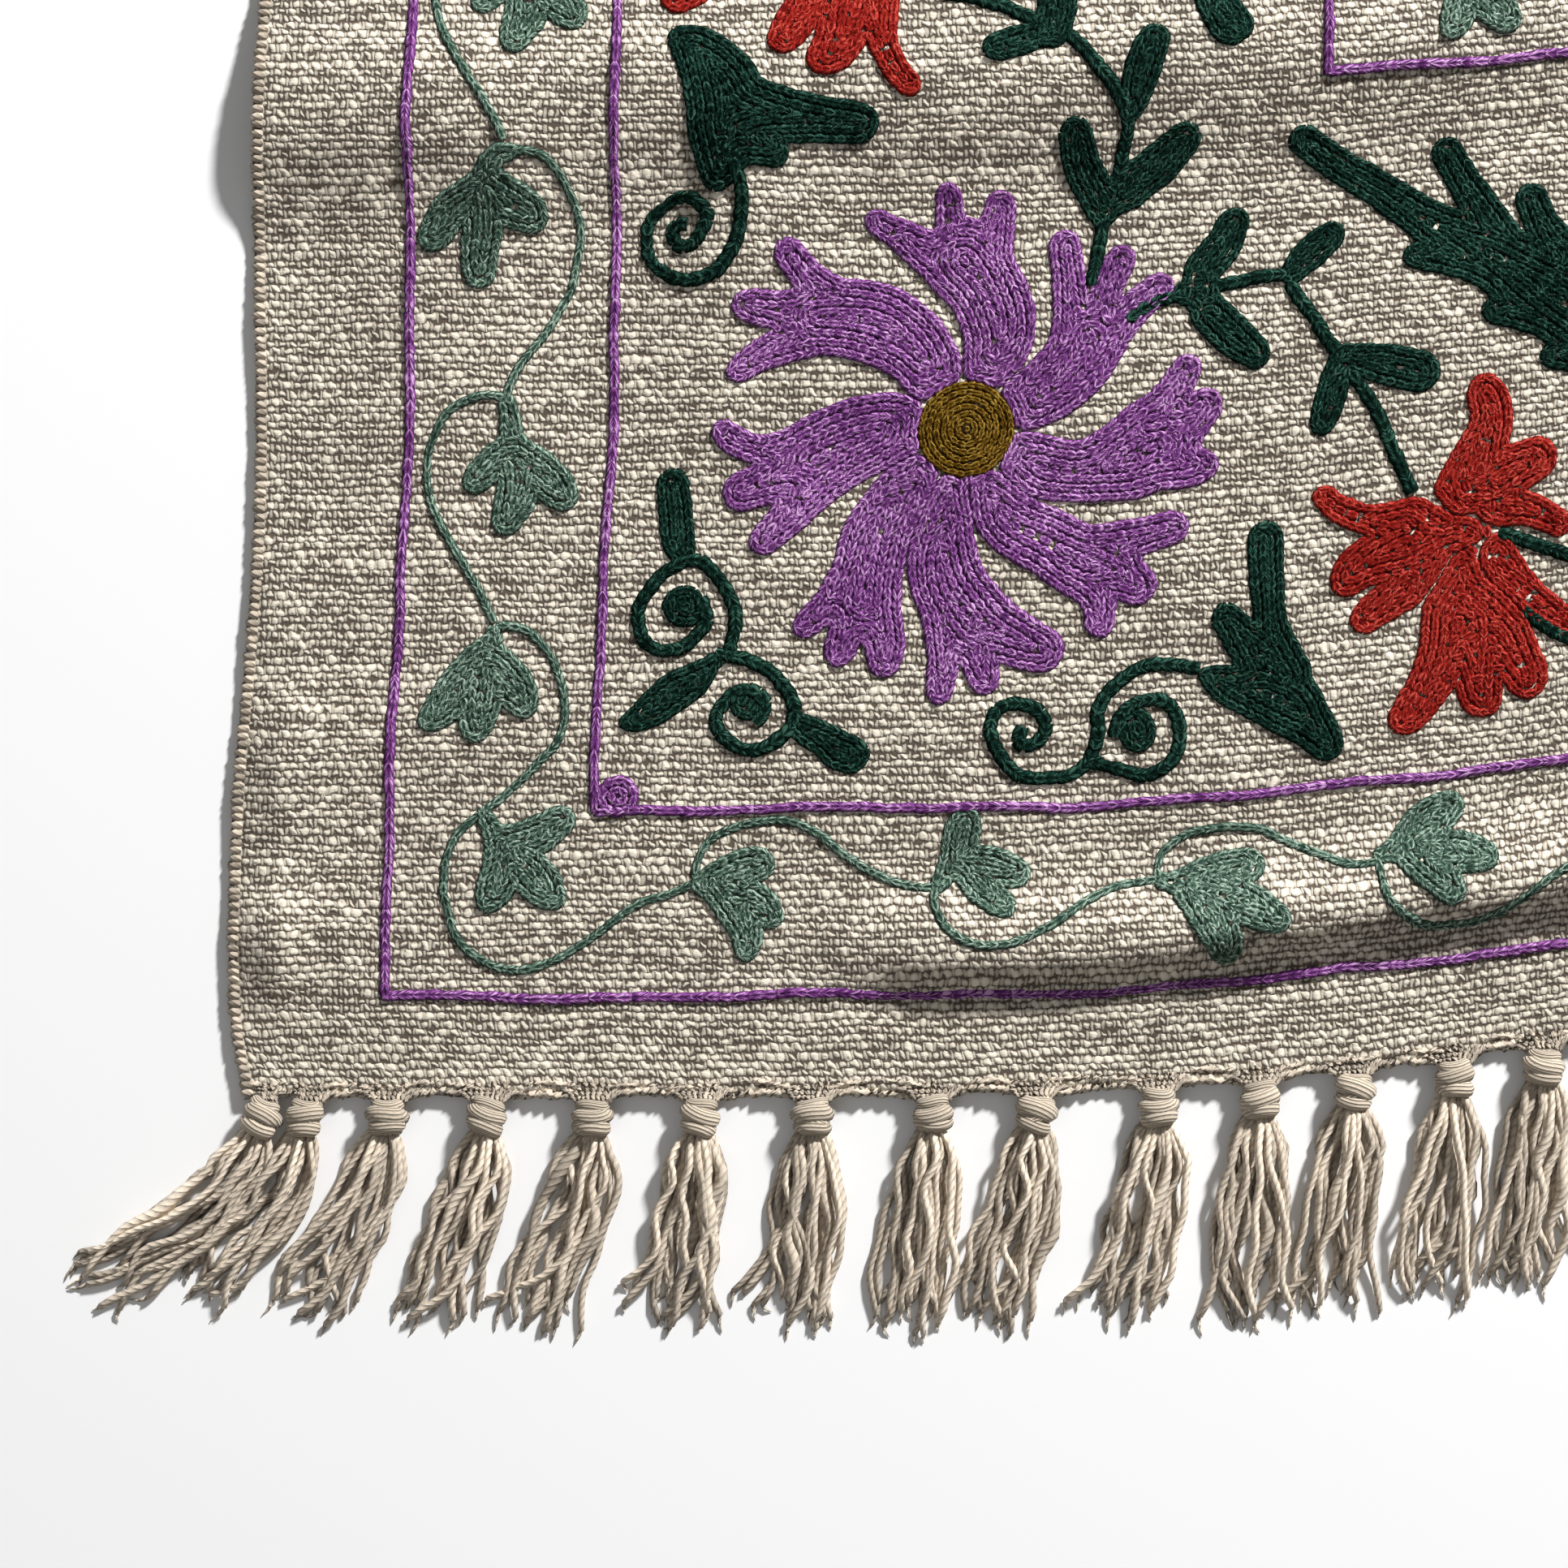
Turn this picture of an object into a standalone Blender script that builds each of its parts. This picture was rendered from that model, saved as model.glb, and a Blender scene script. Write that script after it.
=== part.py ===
"""Small suzani: an embroidered handwoven cotton cloth with knotted warp fringes at both ends.

Units are metres and Z is up. The cloth lies on z = 0, with its weft along X and its warp along Y.
Every shape is first set out on the flat cloth, as (u, v) across and along it from its centre,
and then laid down by the function lay, which gives the cloth its uneven edges and soft folds.
"""

import math

import bmesh
import bpy
from mathutils import Vector

# Ground cloth
WIDTH = 0.760
LENGTH = 0.840
THICKNESS = 0.0016
ROW_SPACING = 0.024
FOLD_ROW_SPACING = 0.010

# Fringe: the cloth's last picks are a band that the knots and locks are fused to
BAND_DEPTH = 0.007
PART_GAP = 0.0003
SCALLOP_DEPTH = 0.0025
NECK_WIDTH = 0.0076
KNOT_WIDTH = 0.0092
KNOT_HEIGHT = 0.0066
KNOT_LENGTH = 0.0085
TASSEL_LENGTH = 0.049
LOCKS_PER_TASSEL = 3
LOCK_GAP = 0.0004

# Gaps between knots from a side edge to the middle of the cloth, the first from the edge itself
KNOT_GAPS = (0.0056, 0.0106, 0.0204, 0.0246, 0.0264, 0.0266, 0.0280,
             0.0298, 0.0256, 0.0304, 0.0252, 0.0234, 0.0250, 0.0220)
MIDDLE_KNOTS = 3

# Directions of the first tassels from the near left corner, in degrees from straight out
NEAR_LEFT_SWINGS = (-60, -43, -31, -19, -21, -12, -9, -10, -17, -11, -4, -10, -8, -6)
NEAR_DRIFT = -7
SWING_SPREAD = 7
NEAR_SWING_WAVES = 71
FAR_SWING_WAVES = 59
FAR_SWING_START = 0.6
CORNER_SWING = 32
CORNER_SWING_POWER = 9
CORNER_TASSELS = 2
CORNER_PLUMPNESS = 0.60

# How a tassel bends: the share of its swing at its root, and how fast the rest comes
LINE_STEPS = 24
BEND_AT_ROOT = 0.25
BEND_RATE = 1.5
KNOT_SWING_SHARE = 0.3

# Sections down a knot: share of its length, and its width and height as shares of the knot's own
KNOT_SECTIONS = (
    dict(share=0.30, width=1.00, height=1.0),
    dict(share=0.85, width=0.93, height=0.9),
)
KNOT_SIDE_LOW = 0.28
KNOT_SIDE_HIGH = 0.72

# Sections down a lock: share of its length, half the tassel's spread, half the lock's height
LOCK_SECTIONS = (
    dict(share=0.03, half_spread=0.0030, half_height=0.0022, fullness=1.00),
    dict(share=0.30, half_spread=0.0056, half_height=0.0028, fullness=1.00),
    dict(share=0.68, half_spread=0.0064, half_height=0.0024, fullness=1.00),
    dict(share=1.00, half_spread=0.0060, half_height=0.0010, fullness=0.55),
)
LOCK_TRIM = 0.12
TRIM_STEP_PER_TASSEL = 3.7
TRIM_STEP_PER_LOCK = 2.1

# In-plane unevenness of the cloth as it lies
SWAY = 0.022
SWAY_CENTRE = 0.040
SWAY_REACH_LEFT = 0.130
SWAY_REACH_RIGHT = 0.240
SWAY_FADE = 0.550
NEAR_LEAN = -0.008
NEAR_LEAN_REACH = 0.150
FAR_LEAN = 0.005
FAR_LEAN_REACH = 0.200
EDGE_WAVE = 0.0012
EDGE_WAVE_LENGTH = 0.170
EDGE_WAVE_SKEW = 1.5
EDGE_WAVE_POWER = 8
END_DRAW_IN = 0.007
END_DRAW_REACH = 0.012

# Soft folds across the cloth. A crest runs from (u_start, v_start) to (u_end, v_end), both from the
# near left corner, and dips towards the near end by dip at dip_at. near and far are the widths of its
# slopes towards the two ends, and fade is how far from its own ends it reaches its full height.
FOLD_COLUMNS = (
    "u_start", "u_end", "v_start", "v_end", "height", "near", "far", "fade", "dip", "dip_at", "dip_reach",
)
FOLDS = [dict(zip(FOLD_COLUMNS, row)) for row in (
    (0.130, 0.560, 0.035, 0.049, 0.0085, 0.011, 0.024, 0.060, 0.003, 0.205, 0.070),
    (-0.120, 0.400, 0.240, 0.262, 0.0070, 0.036, 0.040, 0.140, 0.0, 0.0, 0.100),
    (0.180, 0.900, 0.452, 0.436, 0.0065, 0.030, 0.024, 0.140, 0.0, 0.0, 0.100),
    (-0.140, 0.560, 0.640, 0.668, 0.0060, 0.026, 0.036, 0.140, 0.0, 0.0, 0.100),
    (0.380, 0.880, 0.765, 0.742, 0.0060, 0.030, 0.022, 0.140, 0.0, 0.0, 0.100),
)]

# Short buckles: centre from the near left corner, reach along and across its crest, the crest's
# turn from the warp in degrees, and height
BUCKLE_COLUMNS = ("u", "v", "long_reach", "short_reach", "turn", "height")
BUCKLES = [dict(zip(BUCKLE_COLUMNS, row)) for row in (
    (0.013, 0.088, 0.028, 0.014, 0, 0.0032),
    (0.012, 0.041, 0.022, 0.014, 0, 0.0034),
    (0.121, 0.222, 0.048, 0.024, 18, 0.0034),
    (0.062, 0.226, 0.034, 0.026, 24, 0.0030),
    (0.747, 0.190, 0.032, 0.014, 0, 0.0032),
    (0.013, 0.540, 0.034, 0.014, 0, 0.0030),
    (0.747, 0.600, 0.030, 0.014, 0, 0.0032),
    (0.640, 0.300, 0.050, 0.028, -20, 0.0034),
    (0.600, 0.560, 0.060, 0.030, 30, 0.0036),
)]
EDGE_RIDGE = 0.013

COTTON = (0.47, 0.41, 0.33, 1.0)
COTTON_ROUGHNESS = 0.9
SHARP_ANGLE = 50


def raised_cosine(s):
    """One at s = 0, and falling smoothly to nothing at s = 1 and beyond."""
    return 0.5 * (1 + math.cos(math.pi * min(1.0, abs(s))))


def fold_crest(fold, across):
    """How far a fold's crest is from the near end."""
    share = (across - fold["u_start"]) / (fold["u_end"] - fold["u_start"])
    straight = fold["v_start"] + share * (fold["v_end"] - fold["v_start"])
    return straight - fold["dip"] * raised_cosine((across - fold["dip_at"]) / fold["dip_reach"])


def fold_height(u, v):
    """Height of the cloth's underside above the surface, at a point of the flat cloth."""
    across, along = u + WIDTH / 2, v + LENGTH / 2
    height = 0.0
    for fold in FOLDS:
        off = along - fold_crest(fold, across)
        profile = raised_cosine(off / (fold["near"] if off < 0 else fold["far"]))
        from_end = min(across - fold["u_start"], fold["u_end"] - across)
        window = 1 - raised_cosine(max(0.0, from_end) / fold["fade"])
        height += fold["height"] * profile * window
    for buckle in BUCKLES:
        turn = math.radians(buckle["turn"])
        off_u, off_v = across - buckle["u"], along - buckle["v"]
        lengthwise = (off_u * math.sin(turn) + off_v * math.cos(turn)) / buckle["long_reach"]
        sideways = (off_u * math.cos(turn) - off_v * math.sin(turn)) / buckle["short_reach"]
        height += buckle["height"] * raised_cosine(math.hypot(lengthwise, sideways))
    return height


def lay(u, v):
    """Where a point of the flat cloth lies: x, y and the height of the cloth's underside."""
    from_near, from_far = v + LENGTH / 2, LENGTH / 2 - v
    reach = SWAY_REACH_LEFT if u < SWAY_CENTRE else SWAY_REACH_RIGHT
    sway = SWAY * math.exp(-(((u - SWAY_CENTRE) / reach) ** 2)) / (1 + (from_near / SWAY_FADE) ** 2)
    lean = NEAR_LEAN * math.exp(-((from_near / NEAR_LEAN_REACH) ** 2))
    lean += FAR_LEAN * math.exp(-((from_far / FAR_LEAN_REACH) ** 2))
    nearness = math.exp(-((min(from_near, from_far) / END_DRAW_REACH) ** 2))
    edge = (2 * abs(u) / WIDTH) ** EDGE_WAVE_POWER
    wave = EDGE_WAVE * edge * math.sin(2 * math.pi * v / EDGE_WAVE_LENGTH + EDGE_WAVE_SKEW * u / WIDTH)
    return Vector((u * (1 - END_DRAW_IN * nearness) + lean + wave, v + sway, fold_height(u, v)))


def knot_places():
    """The u of every knot along one end, from left to right."""
    left, place = [], -WIDTH / 2
    for gap in KNOT_GAPS:
        place += gap
        left.append(place)
    middle_gap = -2 * left[-1] / (MIDDLE_KNOTS + 1)
    middle = [left[-1] + middle_gap * (i + 1) for i in range(MIDDLE_KNOTS)]
    return left + middle + [-u for u in reversed(left)]


def cloth_columns(knots):
    """The u of the ground cloth's mesh columns: its edges, the ridges beside them and every second knot."""
    edge, ridge = WIDTH / 2, WIDTH / 2 - EDGE_RIDGE
    return [-edge, -ridge] + knots[2:-2:2] + [ridge, edge]


def cloth_rows():
    """The v of the ground cloth's mesh rows, closer together where it is folded."""
    near, far = -LENGTH / 2 + BAND_DEPTH + PART_GAP, LENGTH / 2 - BAND_DEPTH - PART_GAP
    spans = []
    for fold in FOLDS:
        low, high = sorted((fold["v_start"], fold["v_end"]))
        spans.append((low - fold["dip"] - fold["near"], high + fold["far"]))
    rows, v = [near], near
    while v < far:
        folded = any(low < v + LENGTH / 2 < high for low, high in spans)
        v += FOLD_ROW_SPACING if folded else ROW_SPACING
        rows.append(min(v, far))
    if rows[-1] - rows[-2] < FOLD_ROW_SPACING / 2:
        rows.pop(-2)
    return rows


def cotton_material():
    material = bpy.data.materials.new("natural_cotton")
    material.use_nodes = True
    shader = material.node_tree.nodes["Principled BSDF"]
    shader.inputs["Base Color"].default_value = COTTON
    shader.inputs["Roughness"].default_value = COTTON_ROUGHNESS
    shader.inputs["Metallic"].default_value = 0.0
    return material


def finish_object(name, bm, material):
    """Turns the built mesh into a named object with the cotton material."""
    bmesh.ops.recalc_face_normals(bm, faces=bm.faces)
    mesh = bpy.data.meshes.new(name)
    bm.to_mesh(mesh)
    bm.free()
    mesh.materials.append(material)
    mesh.shade_smooth()
    mesh.set_sharp_from_angle(angle=math.radians(SHARP_ANGLE))
    body = bpy.data.objects.new(name, mesh)
    bpy.context.scene.collection.objects.link(body)
    return body


def ground_cloth(columns, material):
    """The woven sheet, one closed solid of even thickness that follows the folds."""
    bm = bmesh.new()
    rows = cloth_rows()
    under = [[bm.verts.new(lay(u, v)) for u in columns] for v in rows]
    for j in range(len(rows) - 1):
        for i in range(len(columns) - 1):
            bm.faces.new((under[j][i], under[j + 1][i], under[j + 1][i + 1], under[j][i + 1]))
    top = bmesh.ops.extrude_face_region(bm, geom=bm.faces[:])["geom"]
    lifted = [item for item in top if isinstance(item, bmesh.types.BMVert)]
    bmesh.ops.translate(bm, verts=lifted, vec=(0, 0, THICKNESS))
    return finish_object("ground_cloth", bm, material)


def edge_point(columns, u, v):
    """A point on the ground cloth's straight mesh edge between two columns."""
    for left, right in zip(columns, columns[1:]):
        if u <= right:
            return lay(left, v).lerp(lay(right, v), (u - left) / (right - left))
    return lay(columns[-1], v)


def swings(knots, near):
    """Each tassel's direction in degrees from straight out, negative towards -X."""
    found = []
    for number in range(len(knots)):
        share = number / len(knots)
        right_corner = CORNER_SWING * share ** CORNER_SWING_POWER
        left_corner = CORNER_SWING * (1 - share) ** CORNER_SWING_POWER
        if not near:
            waves = math.sin(FAR_SWING_WAVES * share + FAR_SWING_START)
            found.append(SWING_SPREAD * waves + right_corner - left_corner)
        elif number < len(NEAR_LEFT_SWINGS):
            found.append(NEAR_LEFT_SWINGS[number])
        else:
            found.append(NEAR_DRIFT + SWING_SPREAD * math.sin(NEAR_SWING_WAVES * share) + right_corner)
    return found


def tassel_line(start, outward, swing, length):
    """A function that gives the point and the direction at a share of a tassel's length.

    The tassel leaves its knot straight out and bends towards its swing.
    """
    points, headings = [start], []
    for step in range(LINE_STEPS + 1):
        bend = math.radians(swing * min(1.0, BEND_AT_ROOT + BEND_RATE * step / LINE_STEPS))
        headings.append(Vector((math.sin(bend), outward * math.cos(bend), 0)))
        points.append(points[-1] + headings[-1] * length / LINE_STEPS)

    def at(share):
        whole = min(LINE_STEPS, int(share * LINE_STEPS))
        return points[whole].lerp(points[whole + 1], share * LINE_STEPS - whole), headings[whole]

    return at


def extruded(bm, faces):
    """Extrudes faces as one region and returns the new end faces."""
    made = bmesh.ops.extrude_face_region(bm, geom=faces)["geom"]
    bmesh.ops.delete(bm, geom=faces, context="FACES_ONLY")
    return [item for item in made if isinstance(item, bmesh.types.BMFace)]


def knot_ring(slots, centre, across, width, height):
    """Moves the vertices of a knot's end faces onto a rounded section that stands on the surface."""
    columns = LOCKS_PER_TASSEL
    for vert, (column, is_top) in slots.items():
        share = 2 * column / columns - 1
        outer = column in (0, columns)
        low, high = (KNOT_SIDE_LOW, KNOT_SIDE_HIGH) if outer else (0.0, 1.0)
        rise = height * (high if is_top else low)
        vert.co = centre + across * (share * width / 2) + Vector((0, 0, rise))


def slots_of(faces, across):
    """Names each vertex of a row of end faces by its column, counted along across, and its level."""
    verts = sorted({v for f in faces for v in f.verts}, key=lambda v: v.co.dot(across))
    slots = {}
    for column in range(LOCKS_PER_TASSEL + 1):
        low, high = sorted(verts[2 * column : 2 * column + 2], key=lambda v: v.co.z)
        slots[low], slots[high] = (column, False), (column, True)
    return slots


def grow_lock(bm, face, offset, line, plumpness, trim):
    """One lock of warp ends, four-sided, from its root in the knot to its tip."""
    for section in LOCK_SECTIONS:
        point, heading = line(section["share"] * trim)
        across = Vector((-heading.y, heading.x, 0))
        pitch = 2 * section["half_spread"] * plumpness / LOCKS_PER_TASSEL
        half_width = (pitch - LOCK_GAP) / 2 * section["fullness"]
        if section is not LOCK_SECTIONS[0]:
            face = extruded(bm, [face])[0]
        middle = point + across * (offset * pitch)
        ordered = sorted(face.verts, key=lambda v: v.co.dot(across))
        for side, pair in ((-1, ordered[:2]), (1, ordered[2:])):
            low, high = sorted(pair, key=lambda v: v.co.z)
            low.co = middle + across * (side * half_width)
            high.co = low.co + Vector((0, 0, 2 * section["half_height"]))


def grow_tassel(bm, faces, outward, swing, plumpness, number):
    """A knot and its locks, drawn out of the band's edge."""
    root = sum((f.calc_center_median() for f in faces), Vector()) / len(faces)
    root.z = 0
    knot_line = tassel_line(root, outward, swing * KNOT_SWING_SHARE, KNOT_LENGTH)
    for section in KNOT_SECTIONS:
        point, heading = knot_line(section["share"])
        across = Vector((-heading.y, heading.x, 0))
        faces = extruded(bm, faces)
        slots = slots_of(faces, across)
        knot_ring(slots, point, across, KNOT_WIDTH * section["width"], KNOT_HEIGHT * section["height"])
    end, heading = knot_line(1.0)
    across = Vector((-heading.y, heading.x, 0))
    line = tassel_line(end, outward, swing, TASSEL_LENGTH)
    faces.sort(key=lambda f: f.calc_center_median().dot(across))
    bmesh.ops.inset_individual(bm, faces=faces, thickness=LOCK_GAP / 2)
    for place, face in enumerate(faces):
        trim = 1 - LOCK_TRIM * abs(math.sin(TRIM_STEP_PER_TASSEL * number + TRIM_STEP_PER_LOCK * place))
        grow_lock(bm, face, place - (LOCKS_PER_TASSEL - 1) / 2, line, plumpness, trim)


def band_columns(knots):
    """The band's mesh columns from left to right, each with its u and the number of its knot, if any."""
    columns = [(-WIDTH / 2, None)]
    for number, knot in enumerate(knots):
        if number:
            columns.append(((knots[number - 1] + knot) / 2, None))
        for step in range(LOCKS_PER_TASSEL + 1):
            columns.append((knot + NECK_WIDTH * (step / LOCKS_PER_TASSEL - 0.5), number))
    return columns + [(WIDTH / 2, None)]


def fringe(name, near, knots, columns, material):
    """The band of last picks at one end, with its knots and locks fused to it."""
    outward = -1 if near else 1
    inner_v = outward * (LENGTH / 2 - BAND_DEPTH)
    outer_v = outward * LENGTH / 2
    bm = bmesh.new()
    rings, tassel_faces = [], {}
    marks = band_columns(knots)
    for place, (u, knot) in enumerate(marks):
        between = knot is None and 0 < place < len(marks) - 1
        inner = edge_point(columns, u, inner_v)
        outer = lay(u, outer_v - (outward * SCALLOP_DEPTH if between else 0))
        lift = Vector((0, 0, THICKNESS))
        rings.append([bm.verts.new(p) for p in (inner, inner + lift, outer + lift, outer)])
    for (left, (_, a)), (right, (_, b)) in zip(zip(rings, marks), zip(rings[1:], marks[1:])):
        for k in range(4):
            face = bm.faces.new((left[k], left[(k + 1) % 4], right[(k + 1) % 4], right[k]))
            if k == 2 and a is not None and a == b:
                tassel_faces.setdefault(a, []).append(face)
    bm.faces.new(rings[0])
    bm.faces.new(rings[-1])
    bmesh.ops.recalc_face_normals(bm, faces=bm.faces)
    for number, swing in enumerate(swings(knots, near)):
        from_corner = min(number, len(knots) - 1 - number)
        plumpness = CORNER_PLUMPNESS if from_corner < CORNER_TASSELS else 1.0
        grow_tassel(bm, tassel_faces[number], outward, swing, plumpness, number)
    return finish_object(name, bm, material)


def centre_on_origin(bodies):
    """Moves every mesh alike, so that their common box is centred over the origin."""
    points = [v.co for body in bodies for v in body.data.vertices]
    shift = Vector([-(min(p[k] for p in points) + max(p[k] for p in points)) / 2 for k in (0, 1)] + [0])
    for body in bodies:
        for vert in body.data.vertices:
            vert.co += shift


def main():
    for leftover in list(bpy.data.objects):
        bpy.data.objects.remove(leftover)
    material = cotton_material()
    knots = knot_places()
    columns = cloth_columns(knots)
    bodies = [
        ground_cloth(columns, material),
        fringe("fringe_near", True, knots, columns, material),
        fringe("fringe_far", False, knots, columns, material),
    ]
    centre_on_origin(bodies)


main()
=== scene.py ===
"""Dressed view of the suzani: woven ground, chain stitch, and fringes of knotted yarns.

Everything is first set out on the flat cloth, in millimetres across and along it from its near
left corner, and then laid on the folded cloth as the CAD lays it.
"""
import math

import bpy
import numpy as np
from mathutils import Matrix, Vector


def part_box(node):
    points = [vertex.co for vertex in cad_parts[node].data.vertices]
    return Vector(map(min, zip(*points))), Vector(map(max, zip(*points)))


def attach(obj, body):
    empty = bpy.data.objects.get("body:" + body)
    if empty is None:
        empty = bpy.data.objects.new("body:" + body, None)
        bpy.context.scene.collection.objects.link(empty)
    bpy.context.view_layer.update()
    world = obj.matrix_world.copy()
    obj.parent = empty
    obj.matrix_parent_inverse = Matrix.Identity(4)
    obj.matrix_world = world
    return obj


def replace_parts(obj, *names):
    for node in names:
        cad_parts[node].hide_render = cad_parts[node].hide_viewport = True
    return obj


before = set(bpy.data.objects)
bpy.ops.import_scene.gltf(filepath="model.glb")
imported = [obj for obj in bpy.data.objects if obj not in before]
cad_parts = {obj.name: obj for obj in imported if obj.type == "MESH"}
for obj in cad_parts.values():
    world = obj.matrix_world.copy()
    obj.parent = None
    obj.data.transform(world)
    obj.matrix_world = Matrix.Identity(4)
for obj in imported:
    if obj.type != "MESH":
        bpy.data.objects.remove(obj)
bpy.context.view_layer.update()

rng = np.random.default_rng(7)


def table(columns, rows):
    """Each row as a dictionary under the columns' names."""
    return [dict(zip(columns.split(), row)) for row in rows]


def unit(vectors):
    """The vectors' directions."""
    return vectors / np.maximum(np.linalg.norm(vectors, axis=-1, keepdims=True), TINY)


def beside(heads):
    """Directions to the left of flat headings."""
    return np.stack([-heads[..., 1], heads[..., 0]], axis=-1)


def sampled(at, marks, points):
    """Points across and along, read off at places between their marks."""
    return np.stack([np.interp(at, marks, points[:, k]) for k in (0, 1)], axis=1)


def add_object(name, data):
    made = bpy.data.objects.new(name, data)
    bpy.context.scene.collection.objects.link(made)
    return made


# Flat cloth, in millimetres, and how it lies, as in the CAD
WIDTH = 760.0
LENGTH = 840.0
THICKNESS = 1.6
SWAY = 22.0
SWAY_CENTRE = 420.0
SWAY_REACH_LEFT = 130.0
SWAY_REACH_RIGHT = 240.0
SWAY_FADE = 550.0
NEAR_LEAN = -8.0
NEAR_LEAN_REACH = 150.0
FAR_LEAN = 5.0
FAR_LEAN_REACH = 200.0
EDGE_WAVE = 1.2
EDGE_WAVE_LENGTH = 170.0
EDGE_WAVE_POWER = 8
EDGE_WAVE_SLANT = 1.5
END_DRAW_IN = 0.007
END_DRAW_REACH = 12.0
# How far from each end the CAD's cloth starts, beyond the fringe's band
END_BAND = 7.3
# Folds: a crest from (u_start, v_start) to (u_end, v_end), how far it falls away on its near and far
# sides, how far it fades at its ends, and a dip of its line towards the near end
FOLDS = table("u_start u_end v_start v_end height near far fade dip dip_at dip_reach", (
    (130, 560, 35, 49, 8.5, 11, 24, 60, 3, 205, 70),
    (-120, 400, 240, 262, 7.0, 36, 40, 140, 0, 0, 100),
    (180, 900, 452, 436, 6.5, 30, 24, 140, 0, 0, 100),
    (-140, 560, 640, 668, 6.0, 26, 36, 140, 0, 0, 100),
    (380, 880, 765, 742, 6.0, 30, 22, 140, 0, 0, 100),
))
# Oval swellings, with their half lengths and turn in degrees: nine buckles as in the CAD, and then
# sharper and lower creases
SWELLINGS = table("u v long_reach short_reach turn height", (
    (13, 88, 28, 14, 0, 3.2),
    (12, 41, 22, 14, 0, 3.4),
    (121, 222, 48, 24, 18, 3.4),
    (62, 226, 34, 26, 24, 3.0),
    (747, 190, 32, 14, 0, 3.2),
    (13, 540, 34, 14, 0, 3.0),
    (747, 600, 30, 14, 0, 3.2),
    (640, 300, 50, 28, -20, 3.4),
    (600, 560, 60, 30, 30, 3.6),
    (42, 238, 46, 18, 84, 2.0),
    (44, 205, 70, 36, 0, 2.2),
    (110, 205, 62, 14, 22, 2.6),
    (176, 241, 34, 13, 78, 1.8),
    (11, 84, 28, 9, 0, 2.2),
    (11, 36, 24, 9, 0, 2.3),
    (30, 150, 40, 14, 20, 0.8),
    (232, 120, 60, 16, 62, 0.7),
    (70, 330, 50, 14, 40, 0.9),
    (330, 200, 60, 18, 70, 0.8),
    (120, 130, 50, 16, 25, 0.7),
))
# Slight puckers that the stitching draws into the cloth: wavelengths across and along it
PUCKERS = table("height across along phase", (
    (0.24, 47, 61, 0.4),
    (0.20, -83, 39, 2.1),
    (0.14, 29, -71, 4.0),
))

# Weave, and the steps of the sheet's mesh: finer for a stretch inwards from its sides and its ends
WARP_PITCH = 1.37
WEFT_PITCH = 2.0
SHEET_STEP = 8.0
FINE_STEP = 4.0
FINE_SIDES = 32.0
FINE_ENDS = 64.0

# Chain stitch: the sizes of a stitch by its use, and how the rows of a form are set out
FILL = dict(width=2.75, length=2.6, height=1.0)
LINE = dict(width=2.75, length=3.6, height=1.1)
STEM = dict(width=3.9, length=3.0, height=1.25)
FINE = dict(width=2.4, length=3.0, height=0.85)
EYE = dict(width=2.1, length=2.2, height=1.2)
ROSETTE_LENGTH = 2.6
ROW_SPACING = 2.3
EYE_ROW_SPACING = 1.75
OUTLINE_GROWTH = 0.5
BARE_DEPTH = 0.7
COVER_REACH = 1.2
GRID_STEP = 0.5
DISC_STEP = 0.8
LINE_STEP = 0.5
LENGTH_CHANGE = 0.07
ROW_WOBBLE = 0.10
ADDED_HEIGHT = 0.92
DYE_BLOTCH = 0.11
DYE_CHANGE = 0.07
FAR_OFF = 99.0
TINY = 1e-6
# A stitch, as a short ribbon: places along it as shares of its length, points across it there as
# shares of the row's width, and the points' rise as a share of its height
STITCH = table("along across rise", (
    (-0.06, (-0.43, -0.23, 0.0, 0.23, 0.43), (-0.06, 0.66, 0.62, 0.66, -0.06)),
    (0.48, (-0.50, -0.28, 0.0, 0.28, 0.50), (-0.06, 1.00, 0.74, 1.00, -0.06)),
    (1.06, (-0.43, -0.23, 0.0, 0.23, 0.43), (-0.06, 0.58, 0.42, 0.58, -0.06)),
))
# The map of a stitch counts stitches in steps of this size, and widths in millimetres of a full row
MAP_STEP = 4.0
MAP_WIDTH = 2.7

# Fringe: knots, swings in degrees and sizes as in the CAD, with a shallower draw between the knots
KNOT_GAPS = (5.6, 10.6, 20.4, 24.6, 26.4, 26.6, 28.0, 29.8, 25.6, 30.4, 25.2, 23.4, 25.0, 22.0)
MIDDLE_KNOTS = 3
NEAR_LEFT_SWINGS = (-60, -43, -31, -19, -21, -12, -9, -10, -17, -11, -4, -10, -8, -6)
NEAR_DRIFT = -7
SWING_SPREAD = 7
NEAR_SWING_WAVES = 71
FAR_SWING_WAVES = 59
FAR_SWING_START = 0.6
CORNER_SWING = 32
CORNER_SWING_POWER = 9
KNOT_SWING_SHARE = 0.3
BEND_START = 0.25
BEND_RATE = 1.5
SCALLOP_DEPTH = 1.3
SCALLOP_REACH = 7.0
KNOT_WIDTH = 9.2
KNOT_HEIGHT = 6.6
KNOT_LENGTH = 8.5
TASSEL_LENGTH = 49.0
CORNER_STRETCH = 1.16
CORNER_FULLNESS = 0.85
CORNER_KNOT = 0.92
TASSEL_OVERLAP = 1.2
YARNS_PER_TASSEL = 18
YARN_RINGS = 16
# Half the width and half the thickness of a tassel's yarn, a fan's yarn and a weft turn
YARN_SECTION = (0.94, 0.82)
FAN_SECTION = (1.1, 0.8)
TURN_SECTION = (0.92, 0.6)
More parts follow.
